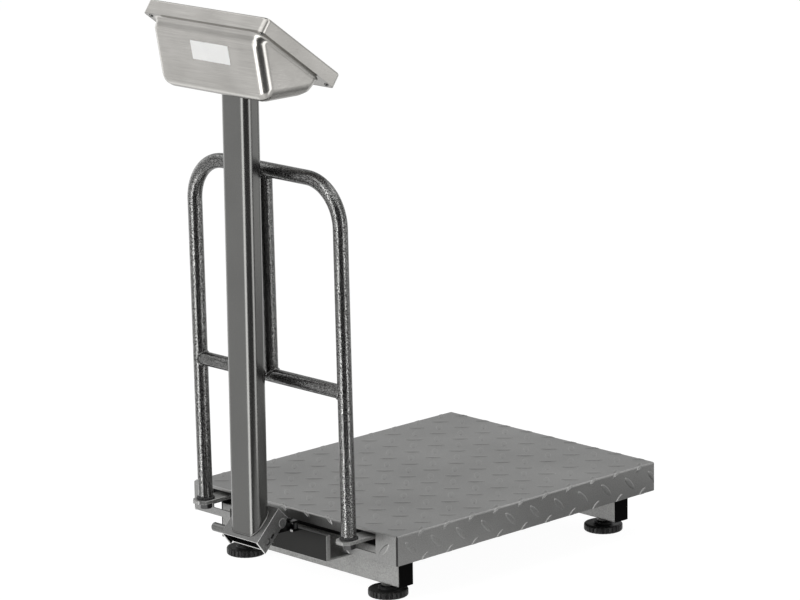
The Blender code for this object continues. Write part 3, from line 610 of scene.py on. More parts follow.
def hammered(name):
    finish, tree = start_finish(name)
    place = tree.add("TexCoord", None, None, "Object")
    cells = tree.add("TexVoronoi", {"feature": "SMOOTH_F1"},
                     {"Vector": place, "Scale": 620, "Smoothness": 0.4, "Randomness": 1.0})
    grit = noise(tree, scale=980, detail=2)
    speck = ramp(tree, grit, ((0.44, 0.0), (0.60, 1.0)))
    close_finish(tree, {"Base Color": blend_colours(tree, speck, (0.008, 0.008, 0.0077), (0.31, 0.31, 0.305)),
                        "Metallic": 0.95, "Roughness": 0.17 + grit * 0.10,
                        "Normal": relief(tree, cells, depth=0.0002, strength=0.5)})
    return finish


def round_bar(path, radius, sides, closed=False):
    """Sweeps a circle along points; the circle turns with the path and never twists."""
    points = [Vector(point) for point in path]
    count = len(points)
    rings = []
    across = None
    for index, point in enumerate(points):
        before = points[index - 1] if index or closed else point
        after = points[(index + 1) % count] if index + 1 < count or closed else point
        heading = (after - before).normalized()
        if across is None:
            across = heading.orthogonal().normalized()
        across = (across - heading * across.dot(heading)).normalized()
        up = heading.cross(across)
        rings.append([point + (across * math.cos(turn) + up * math.sin(turn)) * radius for turn in turns(sides)])
    builder = bmesh.new()
    loops = stack_rings(builder, rings, cap=not closed)
    if closed:
        first, last = loops[0], loops[-1]
        shift = min(range(sides), key=lambda turn: sum((last[step].co - first[(step + turn) % sides].co).length
                                                        for step in range(sides)))
        for step in range(sides):
            follow = (step + 1) % sides
            builder.faces.new((last[step], last[follow], first[(follow + shift) % sides],
                               first[(step + shift) % sides]))
    return builder


def quarter(centre, radius, start):
    """A quarter of a bend, in the rail's own plane."""
    bend = [polar(radius, start + math.pi / 2 * step / RAIL_STEPS) for step in range(RAIL_STEPS + 1)]
    return [(centre[0] + x, 0, centre[1] + z) for x, z in bend]


def set_at(builder, place):
    bmesh.ops.transform(builder, matrix=place, verts=builder.verts)


hammered_grey = hammered("hammered_grey")
hoop_path = [(LEG_X, 0, RAIL_TOP * step / RAIL_STEPS) for step in range(LEG_STEPS)]
hoop_path += quarter((LEG_X - RAIL_BEND, RAIL_TOP - RAIL_BEND), RAIL_BEND, 0)
hoop_path += quarter((RAIL_BEND - LEG_X, RAIL_TOP - RAIL_BEND), RAIL_BEND, math.pi / 2)
hoop_path += [(-LEG_X, 0, RAIL_TOP * step / RAIL_STEPS) for step in reversed(range(LEG_STEPS))]
bar_end = LEG_X - RAIL_RADIUS / 2
bar_path = [(-bar_end, 0, RAIL_BAR), (bar_end, 0, RAIL_BAR)]
post_path = [(0, 0, RAIL_BAR + RAIL_BAR_RADIUS / 2), (0, 0, RAIL_TOP - RAIL_RADIUS / 2)]
for name, path, radius, node in (("guard_hoop", hoop_path, RAIL_RADIUS, "rail_hoop"),
                                 ("guard_crossbar", bar_path, RAIL_BAR_RADIUS, "rail_crossbar"),
                                 ("guard_post", post_path, RAIL_BAR_RADIUS, "rail_centre_post")):
    tube = round_bar(path, radius, RAIL_SIDES)
    set_at(tube, rail_place)
    make_piece(name, tube, hammered_grey, "platform", [node])


# Weld beads: a run of small ripples where one tube of the rail meets another, under the same paint.
# Each follows the line on which the two round tubes cross.
BEAD_RADIUS = 0.0019
BEAD_SIDES, BEAD_STEPS = 8, 64
BEAD_RIPPLES = 14
BEAD_SWELL = 0.18


def weld_bead(path, radius, ripples):
    """A closed bead whose thickness rises and falls, as a run of weld pools does."""
    count = len(path)
    builder = round_bar(path, radius, BEAD_SIDES, True)
    centres = [Vector(point) for point in path for _ in range(BEAD_SIDES)]
    for index, vert in enumerate(builder.verts):
        ripple = 1 + BEAD_SWELL * math.sin(2 * math.pi * ripples * (index // BEAD_SIDES) / count)
        vert.co = centres[index] + (vert.co - centres[index]) * ripple
    return builder


def hoop_side(reach):
    """How far the hoop's surface stands off its axis, on a line that passes the axis at this distance."""
    return math.sqrt(RAIL_RADIUS ** 2 - reach ** 2)


beads = bmesh.new()
bead_turns = turns(BEAD_STEPS)
round_end = [polar(RAIL_BAR_RADIUS, turn) for turn in bead_turns]
bead_paths = [[(side * (LEG_X - hoop_side(a)), a, RAIL_BAR + b) for a, b in round_end] for side in (1, -1)]
bead_paths.append([(a, b, RAIL_TOP - hoop_side(b)) for a, b in round_end])
bead_paths.append([(a, b, RAIL_BAR + abs(a)) for a, b in round_end])
for path in bead_paths:
    add_to(beads, weld_bead(path, BEAD_RADIUS, BEAD_RIPPLES))
set_at(beads, rail_place)
make_piece("guard_beads", beads, hammered_grey, "platform", smooth=60)


# The rail's lugs are flat bars with a cut-back nose, sheared and sprayed lighter than the tube.
# A near-black rippled collar closes each leg's foot, and a hex bolt with a washer holds it from below.
LUG_EDGE = 0.0008
LUG_CHAMFER = 0.007
COLLAR_BEAD, COLLAR_LIFT = 0.0024, 0.0012
BOLT_FLATS = 0.016
BOLT_END, BOLT_CHAMFER = BOLT_FLATS * 0.48, 0.001
BOLT_WASHER = 0.0012
WASHER_RADIUS, WASHER_EDGE = BOLT_FLATS * 0.56, 0.0003


def plate(outline, low, high, edge=0.0):
    """A flat plate cut to an outline in X and Y, with softened edges."""
    builder = bmesh.new()
    stack_rings(builder, [[(x, y, low) for x, y in outline], [(x, y, high) for x, y in outline]])
    if edge:
        bmesh.ops.bevel(builder, geom=builder.edges[:], offset=edge, segments=3, profile=0.5, affect="EDGES")
    return builder


lug_grey = sprayed_grey("lug_grey", (0.16, 0.16, 0.155), (0.50, 0.50, 0.49), 0.75, 0.36)
collar_dark = moulded_black("collar_dark", 0.02, 0.5, 0.25)
bolt_dark = plated("bolt_dark", (0.035, 0.035, 0.035), (0.10, 0.10, 0.10), 0.36)
for side, sign in (("left", 1), ("right", -1)):
    low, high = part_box("rail_lug_" + side)
    lug = plate([(low.x, low.y), (high.x, low.y), (high.x, high.y - LUG_CHAMFER), (high.x - LUG_CHAMFER, high.y),
                 (low.x + LUG_CHAMFER, high.y), (low.x, high.y - LUG_CHAMFER)], low.z, high.z, LUG_EDGE)
    make_piece("guard_lug_" + side, lug, lug_grey, "platform", ["rail_lug_" + side])
    leg_foot = [polar(RAIL_RADIUS, turn) for turn in bead_turns]
    collar = weld_bead([(sign * LEG_X + x, RAIL_FOOT.y + y, high.z + COLLAR_LIFT) for x, y in leg_foot],
                       COLLAR_BEAD, BEAD_RIPPLES)
    make_piece("guard_collar_" + side, collar, collar_dark, "platform", smooth=60)
    low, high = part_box("rail_bolt_" + side)
    bolt = bmesh.new()
    reach = BOLT_FLATS / math.sqrt(3)
    stack_rings(bolt, [hex_ring(BOLT_FLATS, low.z, BOLT_END), hex_ring(BOLT_FLATS, low.z + BOLT_CHAMFER, reach),
                       hex_ring(BOLT_FLATS, high.z - BOLT_WASHER, reach)])
    washer = [polar(WASHER_RADIUS, turn) for turn in bead_turns]
    add_to(bolt, plate(washer, high.z - BOLT_WASHER, high.z, WASHER_EDGE))
    bmesh.ops.translate(bolt, vec=((low.x + high.x) / 2, (low.y + high.y) / 2, 0), verts=bolt.verts)
    make_piece("guard_bolt_" + side, bolt, bolt_dark, "platform", ["rail_bolt_" + side])


# The column: a flat steel tube with large round corners, cut at 45 degrees on its foot bracket.
# It is sprayed with a smooth dark pearl grey, glossy enough to mirror the studio in its corners.
COLUMN_WIDTH, COLUMN_DEPTH = 0.052, 0.031
COLUMN_CORNER = 0.012
COLUMN_WALL = 0.002
COLUMN_STEPS = 14
MITRE_Y, MITRE_Z = rear_y + 0.100, 0.0774
COLUMN_BEAD, COLUMN_RIPPLES = 0.0013, 30


def round_square(width, height, corner, steps, centre=(0, 0)):
    points = []
    for turn, (side, end) in enumerate(((1, 1), (-1, 1), (-1, -1), (1, -1))):
        for step in range(steps + 1):
            angle = (turn + step / steps) * math.pi / 2
            points.append((centre[0] + side * (width / 2 - corner) + corner * math.cos(angle),
                           centre[1] + end * (height / 2 - corner) + corner * math.sin(angle)))
    return points


def pearl_grey(name, dark, light, roughness):
    finish, tree = start_finish(name)
    peel = noise(tree, scale=240, detail=2)
    cloud = noise(tree, scale=11, detail=4)
    flake = noise(tree, scale=2600, detail=1)
    amount = cloud * 0.7 + flake * 0.6 - 0.15
    close_finish(tree, {"Base Color": blend_colours(tree, amount, dark, light), "Metallic": 0.92,
                        "Roughness": roughness - 0.04 + cloud * 0.08,
                        "Normal": relief(tree, peel, depth=0.0001, strength=0.06)})
    return finish


def on_mitre(outline):
    return [(x, y, MITRE_Z + MITRE_Y - y) for x, y in outline]


low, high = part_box("column_tube")
column_y = (low.y + high.y) / 2
outer = round_square(COLUMN_WIDTH, COLUMN_DEPTH, COLUMN_CORNER, COLUMN_STEPS, (0, column_y))
inner = round_square(COLUMN_WIDTH - 2 * COLUMN_WALL, COLUMN_DEPTH - 2 * COLUMN_WALL,
                     COLUMN_CORNER - COLUMN_WALL, COLUMN_STEPS, (0, column_y))
column = bmesh.new()
loops = stack_rings(column, [on_mitre(inner), [(x, y, high.z) for x, y in inner],
                             [(x, y, high.z) for x, y in outer], on_mitre(outer)], cap=False)
for step in range(len(outer)):
    follow = (step + 1) % len(outer)
    column.faces.new((loops[3][step], loops[3][follow], loops[0][follow], loops[0][step]))
pearl = pearl_grey("column_pearl", (0.115, 0.115, 0.112), (0.160, 0.160, 0.155), 0.21)
make_piece("column_post", column, pearl, "base", ["column_tube"])
foot_bead = weld_bead(on_mitre(outer), COLUMN_BEAD, COLUMN_RIPPLES)
make_piece("column_foot_bead", foot_bead, pearl, "base", smooth=60)


# The column's hinged foot: a pressed bracket with two cheeks, a saddle it folds on, and a channel
# from the base that carries the saddle. All are cut and bent from steel plate and painted in dark
# greys, and their sheared ends are bare steel. Over that, light and shade are painted on: a darker copy
# of the grey on the bracket's top plate and black in the hollows as painted shade, bright lines on edges
# as painted highlights, and lighter low faces in the channel as painted light.
FOOT_EDGE = 0.0009
FOOT_SHEET = 0.0014
FOOT_TILT = math.radians(135)
CHEEK_INSIDE = 0.0325
TONGUE_FRONT = 0.0203
WING_OUT = 0.0355
BRACKET_DEPTH = 0.023
PLATE_TRIM, CHEEK_TRIM, TONGUE_TRIM = 0.0045, 0.0020, 0.0055
TRIM_BLOCK = (0.1, 0.03, 0.1)
UNDER_LENGTH, UNDER_DEEP, UNDER_MIDDLE = 0.068, 0.003, 0.029
SKIN, TONGUE_SKIN, SADDLE_SKIN = 0.0002, 0.0003, 0.001
EDGE_LEAN = (0.25, 0.97)
END_FACING, TONGUE_FACING = 0.4, 0.8
PAINTED_LIGHT_BAND = 0.004
bracket_grey = sprayed_grey("bracket_grey", (0.13, 0.13, 0.128), (0.27, 0.27, 0.265), 0.7, 0.34)
shaded_top_plate_paint = sprayed_grey("shaded_top_plate_paint", (0.085, 0.085, 0.083), (0.18, 0.18, 0.177), 0.7, 0.34)
channel_dark = pearl_grey("channel_dark", (0.020, 0.020, 0.0192), (0.034, 0.034, 0.033), 0.28)
sheared_ends_and_painted_light = sprayed_grey("sheared_ends_and_painted_light", (0.26, 0.26, 0.255), (0.48, 0.48, 0.47), 0.7, 0.36)
sheared_ends_and_painted_highlight = plated("sheared_ends_and_painted_highlight", (0.58, 0.58, 0.57), (0.78, 0.78, 0.77), 0.34)
painted_shade_black = moulded_black("painted_shade_black", 0.003, 0.8, 0.05)
foot_place = Matrix.Translation((0, MITRE_Y, MITRE_Z)) @ Matrix.Rotation(FOOT_TILT, 4, "X")
foot_down = Vector((0, math.sqrt(0.5), -math.sqrt(0.5)))


def foot_depth(point):
    """How far a point lies under the sloping face of the bracket."""
    return (foot_place.inverted() @ point).z


def foot_trim(trim, slant=0.0):
    """A cutter that shortens the foot's low end, measured along its slope."""
    cutter = box(TRIM_BLOCK, (0, -TRIM_BLOCK[1] / 2, 0))
    place = foot_place @ Matrix.Translation((0, foot_end + trim, 0)) @ Matrix.Rotation(slant, 4, "X")
    set_at(cutter, place)
    return cutter


low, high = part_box("column_bracket")
foot_end = (foot_place.inverted() @ Vector((0, high.y, low.z + BRACKET_DEPTH * math.sqrt(0.5)))).y
under_plate = box((2 * CHEEK_INSIDE, UNDER_LENGTH, UNDER_DEEP), (0, UNDER_MIDDLE, FOOT_SHEET + UNDER_DEEP / 2))
set_at(under_plate, foot_place)
end_slant = math.atan((PLATE_TRIM - CHEEK_TRIM) / BRACKET_DEPTH)
bracket_cuts = [under_plate, foot_trim(PLATE_TRIM, end_slant)]
bracket = make_piece("foot_bracket", carved(eased("column_bracket", FOOT_EDGE), bracket_cuts), bracket_grey, "base",
                     ["column_bracket"])
# Painted shade: the sloping top plate's outer faces take a darker copy of the bracket's grey.
recoat(bracket, shaded_top_plate_paint, lambda face: foot_depth(face.center) < FOOT_SHEET / 2)
# Painted shade: the hollow between the cheeks and under the plate is painted black.
recoat(bracket, painted_shade_black, lambda face: abs(face.center.x) < CHEEK_INSIDE + SKIN
       and foot_depth(face.center) > FOOT_SHEET - SKIN)
# Painted highlight: the rounded edges along the cheeks are painted bright; the low end faces are bare sheared steel.
recoat(bracket, sheared_ends_and_painted_highlight, lambda face: EDGE_LEAN[0] < abs(face.normal.x) < EDGE_LEAN[1]
       and abs(face.center.x) > CHEEK_INSIDE or face.normal.dot(foot_down) > END_FACING)
saddle_builder = carved(eased("hinge_saddle", FOOT_EDGE / 2), [foot_trim(TONGUE_TRIM)])
tongue_face = foot_place @ Vector((0, 0, TONGUE_FRONT))
for place, facing in (((WING_OUT, 0, 0), (1, 0, 0)), ((-WING_OUT, 0, 0), (1, 0, 0)), (tongue_face, (0, 1, 1))):
    slice_at(saddle_builder, place, facing)
saddle = make_piece("foot_saddle", saddle_builder, channel_dark, "base", ["hinge_saddle"])
# Painted shade: the saddle's hollow under its tongue is painted black.
recoat(saddle, painted_shade_black, lambda face: abs(face.center.x) < WING_OUT
       and SADDLE_SKIN < foot_depth(face.center) < TONGUE_FRONT + TONGUE_SKIN)
# Painted highlight: the wings' rear faces and the tongue's low edge are painted bright.
recoat(saddle, sheared_ends_and_painted_highlight, lambda face: abs(face.center.x) > WING_OUT and face.normal.y > FACING
       or abs(face.center.x) < WING_OUT and face.normal.dot(foot_down) > TONGUE_FACING
       and foot_depth(face.center) > TONGUE_FRONT)
channel = make_piece("foot_channel", eased("column_channel", FOOT_EDGE), channel_dark, "base",
                     ["column_channel"])
low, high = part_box("column_channel")
# The channel's end faces are bare sheared steel; its faces near the bottom and near the web get the same lighter grey
# as painted light, where the hollow would read dark.
recoat(channel, sheared_ends_and_painted_light, lambda face: abs(face.normal.x) > FACING or face.center.z < low.z + PAINTED_LIGHT_BAND
       or face.center.y < low.y + PAINTED_LIGHT_BAND)


# The hinge pin is a riveted round bar with a low head on each cheek. The lock pin is a plain plated
# rod with a thicker grip, turned with a chamfer at each end, and it pulls out sideways.
PIN_STEPS = 40
PIN_RADIUS = 0.005
RIVET_START, RIVET_RADIUS = 0.0358, 0.0065
RIVET_END = ((0.0006, 0.0065), (0.0002, 0.0060), (0.0, 0.0048))
ROD_TIP = ((0.0, 0.0042), (0.0008, 0.0050))
GRIP_START = ((0.0361, 0.0050), (0.0361, 0.0055), (0.0366, 0.0060))
GRIP_END = ((0.0012, 0.0060), (0.0003, 0.0054), (0.0, 0.0046))
TIP_FACE = 0.001


def turned_bar(profile, low, high):
    """A bar turned about a line along X through the middle of a box, from (x, radius) pairs."""
    middle_y, middle_z = (low.y + high.y) / 2, (low.z + high.z) / 2
    rings = []
    for x, radius in profile:
        circle = [polar(radius, turn) for turn in turns(PIN_STEPS)]
        rings.append([(x, middle_y + y, middle_z + z) for y, z in circle])
    builder = bmesh.new()
    stack_rings(builder, rings)
    return builder


low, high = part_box("hinge_pin")
pin_half = [(0.0, PIN_RADIUS), (RIVET_START, PIN_RADIUS), (RIVET_START, RIVET_RADIUS)]
pin_half += [(high.x - back, radius) for back, radius in RIVET_END]
pin_profile = [(-x, radius) for x, radius in reversed(pin_half)] + pin_half[1:]
make_piece("hinge_rivet", turned_bar(pin_profile, low, high), bracket_grey, "base", ["hinge_pin"])
low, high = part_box("lock_pin")
rod_profile = [(low.x + ahead, radius) for ahead, radius in ROD_TIP] + list(GRIP_START)
rod_profile += [(high.x - back, radius) for back, radius in GRIP_END]
rod_zinc = plated("rod_zinc", (0.10, 0.10, 0.10), (0.21, 0.21, 0.205), 0.34)
lock_rod = make_piece("lock_rod", turned_bar(rod_profile, low, high), rod_zinc, "lock", ["lock_pin"])
recoat(lock_rod, bracket_grey, lambda face: face.center.x < low.x + TIP_FACE)


# The indicator's back: a wedge-shaped shell deep-drawn in brushed stainless sheet, with round edges
# and a flat flange that lies in the front tray.
PANEL_Y, PANEL_Z = rear_y + 0.067, deck_top + 0.648
PANEL_TILT = math.radians(36)
PANEL_WIDTH, PANEL_SLOPE, PANEL_CORNER = 0.230, 0.155, 0.008
PANEL_RIM, PANEL_SHEET = 0.020, 0.0015
FLANGE_MARGIN, FLANGE_STEPS = 0.0018, 8
FLANGE_CLEAR, FLANGE_LEVEL = 0.004, 1e-5
SHELL_WIDTH = 0.208
SHELL_ROUND, SHELL_STEPS = 0.0210, 10
SHELL_SHARES = {(1,): 0.26, (2,): 0.60, (3,): 0.60, (0, 1): 0.70, (1, 2): 0.72, (2, 3): 1.0, (3, 4): 0.70}
SHELL_FILLET, FILLET_STEPS = 0.0062, 6
SHELL_TOP, SHELL_FRONT, SHELL_SEAT = 0.067, -0.0585, -0.0192
SHELL_BACK, SHELL_FLOOR = (0.0714, 0.0099), ((0.057, -0.069), (-0.020, -0.069))
panel_place = Matrix.Translation((0, PANEL_Y, PANEL_Z)) @ Matrix.Rotation(PANEL_TILT, 4, "X")


def along_panel(reach, lift):
    """A place behind and above the panel's centre, as distance up its slope and off its face."""
    return (reach * math.cos(PANEL_TILT) + lift * math.sin(PANEL_TILT),
            lift * math.cos(PANEL_TILT) - reach * math.sin(PANEL_TILT))


def rolled(builder, radius, steps):
    """A builder with its edges rounded, each by its own share of the radius."""
    item = blank_item(builder)
    roll = item.modifiers.new("roll", "BEVEL")
    roll.width, roll.segments, roll.limit_method = radius, steps, "WEIGHT"
    return worked(item)


def brushed(name, dark, light, roughness):
    finish, tree = start_finish(name)
    lines = noise(tree, scale=30, detail=4, stretch=(0.6, 3, 40))
    hair = noise(tree, scale=130, detail=3, stretch=(0.3, 2, 16))
    cloud = noise(tree, scale=16, detail=3)
    amount = lines * 0.9 + hair * 0.6 + cloud * 1.1 - 0.8
    close_finish(tree, {"Base Color": blend_colours(tree, amount, dark, light), "Metallic": 1.0,
                        "Roughness": roughness - 0.06 + lines * 0.07 + cloud * 0.05,
                        "Normal": relief(tree, hair, depth=0.0001, strength=0.10)})
    return finish


stainless = brushed("stainless", (0.345, 0.336, 0.318), (0.52, 0.508, 0.484), 0.25)
side_view = [(SHELL_TOP, SHELL_SEAT), along_panel(*SHELL_BACK), along_panel(*SHELL_FLOOR[0]),
             along_panel(*SHELL_FLOOR[1]), (SHELL_FRONT, SHELL_SEAT)]


def view_corner(vert):
    """The number of the side view's corner that a point of the blank stands at."""
    return min(range(len(side_view)), key=lambda spot: (vert.co.yz - Vector(side_view[spot])).length)


drawn = bmesh.new()
stack_rings(drawn, [[(side * SHELL_WIDTH / 2, s, n) for s, n in side_view] for side in (-1, 1)])
drawn_round = drawn.edges.layers.float.new("bevel_weight_edge")
for edge in drawn.edges:
    corners = {view_corner(vert) for vert in edge.verts}
    edge[drawn_round] = SHELL_SHARES.get(tuple(sorted(corners)), 0.0)
drawn = rolled(drawn, SHELL_ROUND, SHELL_STEPS)
flange_size = (PANEL_WIDTH - 2 * FLANGE_MARGIN, PANEL_SLOPE - 2 * FLANGE_MARGIN)
flange = plate(round_square(*flange_size, PANEL_CORNER - FLANGE_MARGIN, FLANGE_STEPS), -PANEL_RIM,
               PANEL_SHEET - PANEL_RIM)
shell = carved(flange, [drawn], "UNION")
draw_line = [edge for edge in shell.edges
             if all(abs(vert.co.z + PANEL_RIM) < FLANGE_LEVEL and abs(vert.co.x) < flange_size[0] / 2 - FLANGE_CLEAR
                    and abs(vert.co.y) < flange_size[1] / 2 - FLANGE_CLEAR for vert in edge.verts)]
bmesh.ops.bevel(shell, geom=draw_line, offset=SHELL_FILLET, segments=FILLET_STEPS, profile=0.5, affect="EDGES",
                clamp_overlap=True)
set_at(shell, panel_place)
make_piece("indicator_shell", shell, stainless, "base", ["indicator_back_shell"], smooth=40)


# A blank white paper sticker lies on the shell's back wall.
# It is cut with round corners and stuck flat, a little off the middle.
STICKER_SIZE = (0.072, 0.0255)
STICKER_CORNER, STICKER_STEPS = 0.0012, 5
STICKER_X = -0.0085
STICKER_DOWN = 0.0213
STICKER_THICK, STICKER_GAP = 0.00018, 0.00004


def paper(name, dark, light):
    finish, tree = start_finish(name)
    fibre = noise(tree, scale=700, detail=4)
    cloud = noise(tree, scale=45, detail=3)
    close_finish(tree, {"Base Color": blend_colours(tree, fibre * 0.5 + cloud * 0.5, dark, light),
                        "Roughness": 0.42 + fibre * 0.2, "Normal": relief(tree, fibre, depth=0.00005, strength=0.4)})
    return finish


wall_top, wall_low = Vector(side_view[1]), Vector(side_view[2])
down = (wall_low - wall_top).normalized()
outward = Vector((-down.y, down.x))
sticker = plate(round_square(*STICKER_SIZE, STICKER_CORNER, STICKER_STEPS), 0, STICKER_THICK)
for vert in sticker.verts:
    spot = wall_top + down * (STICKER_DOWN - vert.co.y) + outward * (vert.co.z + STICKER_GAP)
    vert.co = (vert.co.x + STICKER_X, spot.x, spot.y)
set_at(sticker, panel_place)
sticker_paper = paper("sticker_paper", (0.68, 0.68, 0.67), (0.80, 0.80, 0.79))
make_piece("blank_sticker", sticker, sticker_paper, "base")


# Four small plated pan-head screws go through the flange's corners into the front tray.
# Each head has a pressed cross recess.
SCREW_INSET = 0.0072
RECESS_LONG, RECESS_WIDE, RECESS_DEEP, RECESS_UP = 0.0030, 0.0006, 0.0016, 0.0017
HEAD_STEPS = 32
HEAD_PROFILE = ((0.0030, 0.0), (0.0031, 0.0005), (0.0028, 0.0011), (0.0020, 0.0015), (0.0010, 0.0017))
screws = bmesh.new()
for side in (1, -1):
    for end in (1, -1):
        head = bmesh.new()
        stack_rings(head, [[(*polar(radius, turn), height) for turn in turns(HEAD_STEPS)]
                           for radius, height in HEAD_PROFILE])
        head = carved(head, [box((RECESS_LONG, RECESS_WIDE, RECESS_DEEP), (0, 0, RECESS_UP)),
                             box((RECESS_WIDE, RECESS_LONG, RECESS_DEEP), (0, 0, RECESS_UP))])
        for vert in head.verts:
            vert.co = (vert.co.x + side * (flange_size[0] / 2 - SCREW_INSET),
                       vert.co.y + end * (flange_size[1] / 2 - SCREW_INSET), -PANEL_RIM - vert.co.z)
        add_to(screws, head)
set_at(screws, panel_place)
screw_zinc = plated("screw_zinc", (0.10, 0.10, 0.10), (0.24, 0.24, 0.235), 0.3)
make_piece("flange_screws", screws, screw_zinc, "base")


# The front tray is a shallow stainless pressing with a bent rim, open for the window and the keys.
# A thin printed sheet of dark polyester is stuck on its face.
TRAY_BEND, TRAY_BEND_STEPS = 0.003, 6
TRAY_STEPS = 10
SMALL_CORNER = 0.0008
WINDOW_SIZE, WINDOW_UP = (0.150, 0.050), 0.030
KEY_COUNT = 6
KEY_SIZE, KEY_PITCH, KEY_UP = (0.024, 0.016), 0.034, -0.034
KEY_GAP = 0.0004
OPENING_DEEP = 0.008
SHEET_SIZE = (0.212, 0.137)
SHEET_CORNER, SHEET_STEPS = 0.006, 8
SHEET_LIFT, SHEET_THICK = 0.00003, 0.0003
SHEET_LAP = 0.003
LINE_OUTSIDE, LINE_INSIDE = (0.160, 0.060, 0.004), (0.1575, 0.0575, 0.003)
LINE_STEPS, LINE_THICK, LINE_CUT = 6, 0.0001, 0.002
key_places = [(number - (KEY_COUNT - 1) / 2) * KEY_PITCH for number in range(KEY_COUNT)]


def panel_openings(margin):
    """Blocks that cut the window and the key holes."""
    cutters = [box((WINDOW_SIZE[0] + 2 * margin, WINDOW_SIZE[1] + 2 * margin, OPENING_DEEP), (0, WINDOW_UP, 0))]
    for key_x in key_places:
        cutters.append(box((KEY_SIZE[0] + 2 * KEY_GAP, KEY_SIZE[1] + 2 * KEY_GAP, OPENING_DEEP), (key_x, KEY_UP, 0)))
    return cutters


def inset_outline(size, corner, steps, inset):
    """A rectangle with round corners, drawn in on every side."""
    return round_square(size[0] - 2 * inset, size[1] - 2 * inset, max(corner - inset, SMALL_CORNER), steps)


panel_shape = ((PANEL_WIDTH, PANEL_SLOPE), PANEL_CORNER, TRAY_STEPS)
rings = [[(x, y, -PANEL_RIM) for x, y in inset_outline(*panel_shape, 0.0)]]
for step in range(TRAY_BEND_STEPS + 1):
    angle = math.pi / 2 * step / TRAY_BEND_STEPS
    inset = TRAY_BEND * (1 - math.cos(angle))
    height = -TRAY_BEND * (1 - math.sin(angle))
    rings.append([(x, y, height) for x, y in inset_outline(*panel_shape, inset)])
tray = bmesh.new()
stack_rings(tray, rings)
tray_inside = plate(inset_outline(*panel_shape, PANEL_SHEET), -2 * PANEL_RIM, -PANEL_SHEET)
tray = carved(tray, [tray_inside] + panel_openings(0))
set_at(tray, panel_place)
make_piece("indicator_tray", tray, stainless, "base", ["indicator_front_panel"])


def printed_sheet(name, dark, light):
    finish, tree = start_finish(name)
    sand = noise(tree, scale=2200, detail=2)
    cloud = noise(tree, scale=20, detail=3)
    close_finish(tree, {"Base Color": blend_colours(tree, cloud * 0.6 + sand * 0.4, dark, light),
                        "Roughness": 0.40 + sand * 0.15, "Normal": relief(tree, sand, depth=0.00005, strength=0.35)})
    return finish


sheet = carved(plate(round_square(*SHEET_SIZE, SHEET_CORNER, SHEET_STEPS), SHEET_LIFT, SHEET_THICK),
               panel_openings(-SHEET_LAP))
set_at(sheet, panel_place)
sheet_ink = printed_sheet("front_sheet", (0.022, 0.028, 0.038), (0.040, 0.050, 0.066))
make_piece("front_sheet", sheet, sheet_ink, "base")
outside, inside = (round_square(*shape, LINE_STEPS, (0, WINDOW_UP)) for shape in (LINE_OUTSIDE, LINE_INSIDE))
window_line = carved(plate(outside, SHEET_THICK, SHEET_THICK + LINE_THICK), [plate(inside, 0, LINE_CUT)])
set_at(window_line, panel_place)
line_grey = printed_sheet("line_grey", (0.50, 0.51, 0.52), (0.58, 0.59, 0.60))
make_piece("window_line", window_line, line_grey, "base")


# The display: a clear window over a grey-green liquid crystal panel with dark seven-bar digits.
# It reads zero, as an empty scale does.
DIGIT_HEIGHT, DIGIT_WIDTH, DIGIT_BAR = 0.030, 0.016, 0.0034
DIGIT_COUNT, DIGIT_PITCH = 3, 0.0225
DIGIT_LIFT = -0.00258
DIGIT_THICK = 0.00012
DIGIT_GAP = 0.0004
DOT_SIZE, DOT_CORNER, DOT_STEPS = 0.0034, 0.0012, 4
ZERO_BARS = ((0, 2, False), (1, 1, True), (1, -1, True), (0, -2, False), (-1, -1, True), (-1, 1, True))


def zero_digit(centre_x):
    """The six flat bars of a zero, from the top, clockwise."""
    wide, tall = DIGIT_WIDTH / 2, DIGIT_HEIGHT / 4
    builder = bmesh.new()
    for across, up, upright in ZERO_BARS:
        reach = (tall if upright else wide) - DIGIT_GAP
        thick = DIGIT_BAR / 2
        outline = [(-reach, 0), (thick - reach, -thick), (reach - thick, -thick), (reach, 0), (reach - thick, thick),
                   (thick - reach, thick)]
        if upright:
            outline = [(-y, x) for x, y in outline]
        outline = [(centre_x + across * wide + x, WINDOW_UP + up * tall + y) for x, y in outline]
        add_to(builder, plate(outline, DIGIT_LIFT, DIGIT_LIFT + DIGIT_THICK))
    return builder


digits = bmesh.new()
for number in range(DIGIT_COUNT):
    add_to(digits, zero_digit((number - 0.5) * DIGIT_PITCH))
dot = round_square(DOT_SIZE, DOT_SIZE, DOT_CORNER, DOT_STEPS, (0, WINDOW_UP - DIGIT_HEIGHT / 2))
add_to(digits, plate(dot, DIGIT_LIFT, DIGIT_LIFT + DIGIT_THICK))
set_at(digits, panel_place)
digit_ink = printed_sheet("digit_ink", (0.015, 0.018, 0.016), (0.03, 0.034, 0.03))
make_piece("display_digits", digits, digit_ink, "base")
coat_node("display_module", printed_sheet("crystal_panel", (0.30, 0.35, 0.27), (0.36, 0.41, 0.32)))
glass, tree = start_finish("window_glass")
close_finish(tree, {"Base Color": (0.05, 0.06, 0.06, 1), "Alpha": 0.14,
                    "Roughness": 0.05 + noise(tree, scale=30, detail=3) * 0.08})
coat_node("display_window", glass)


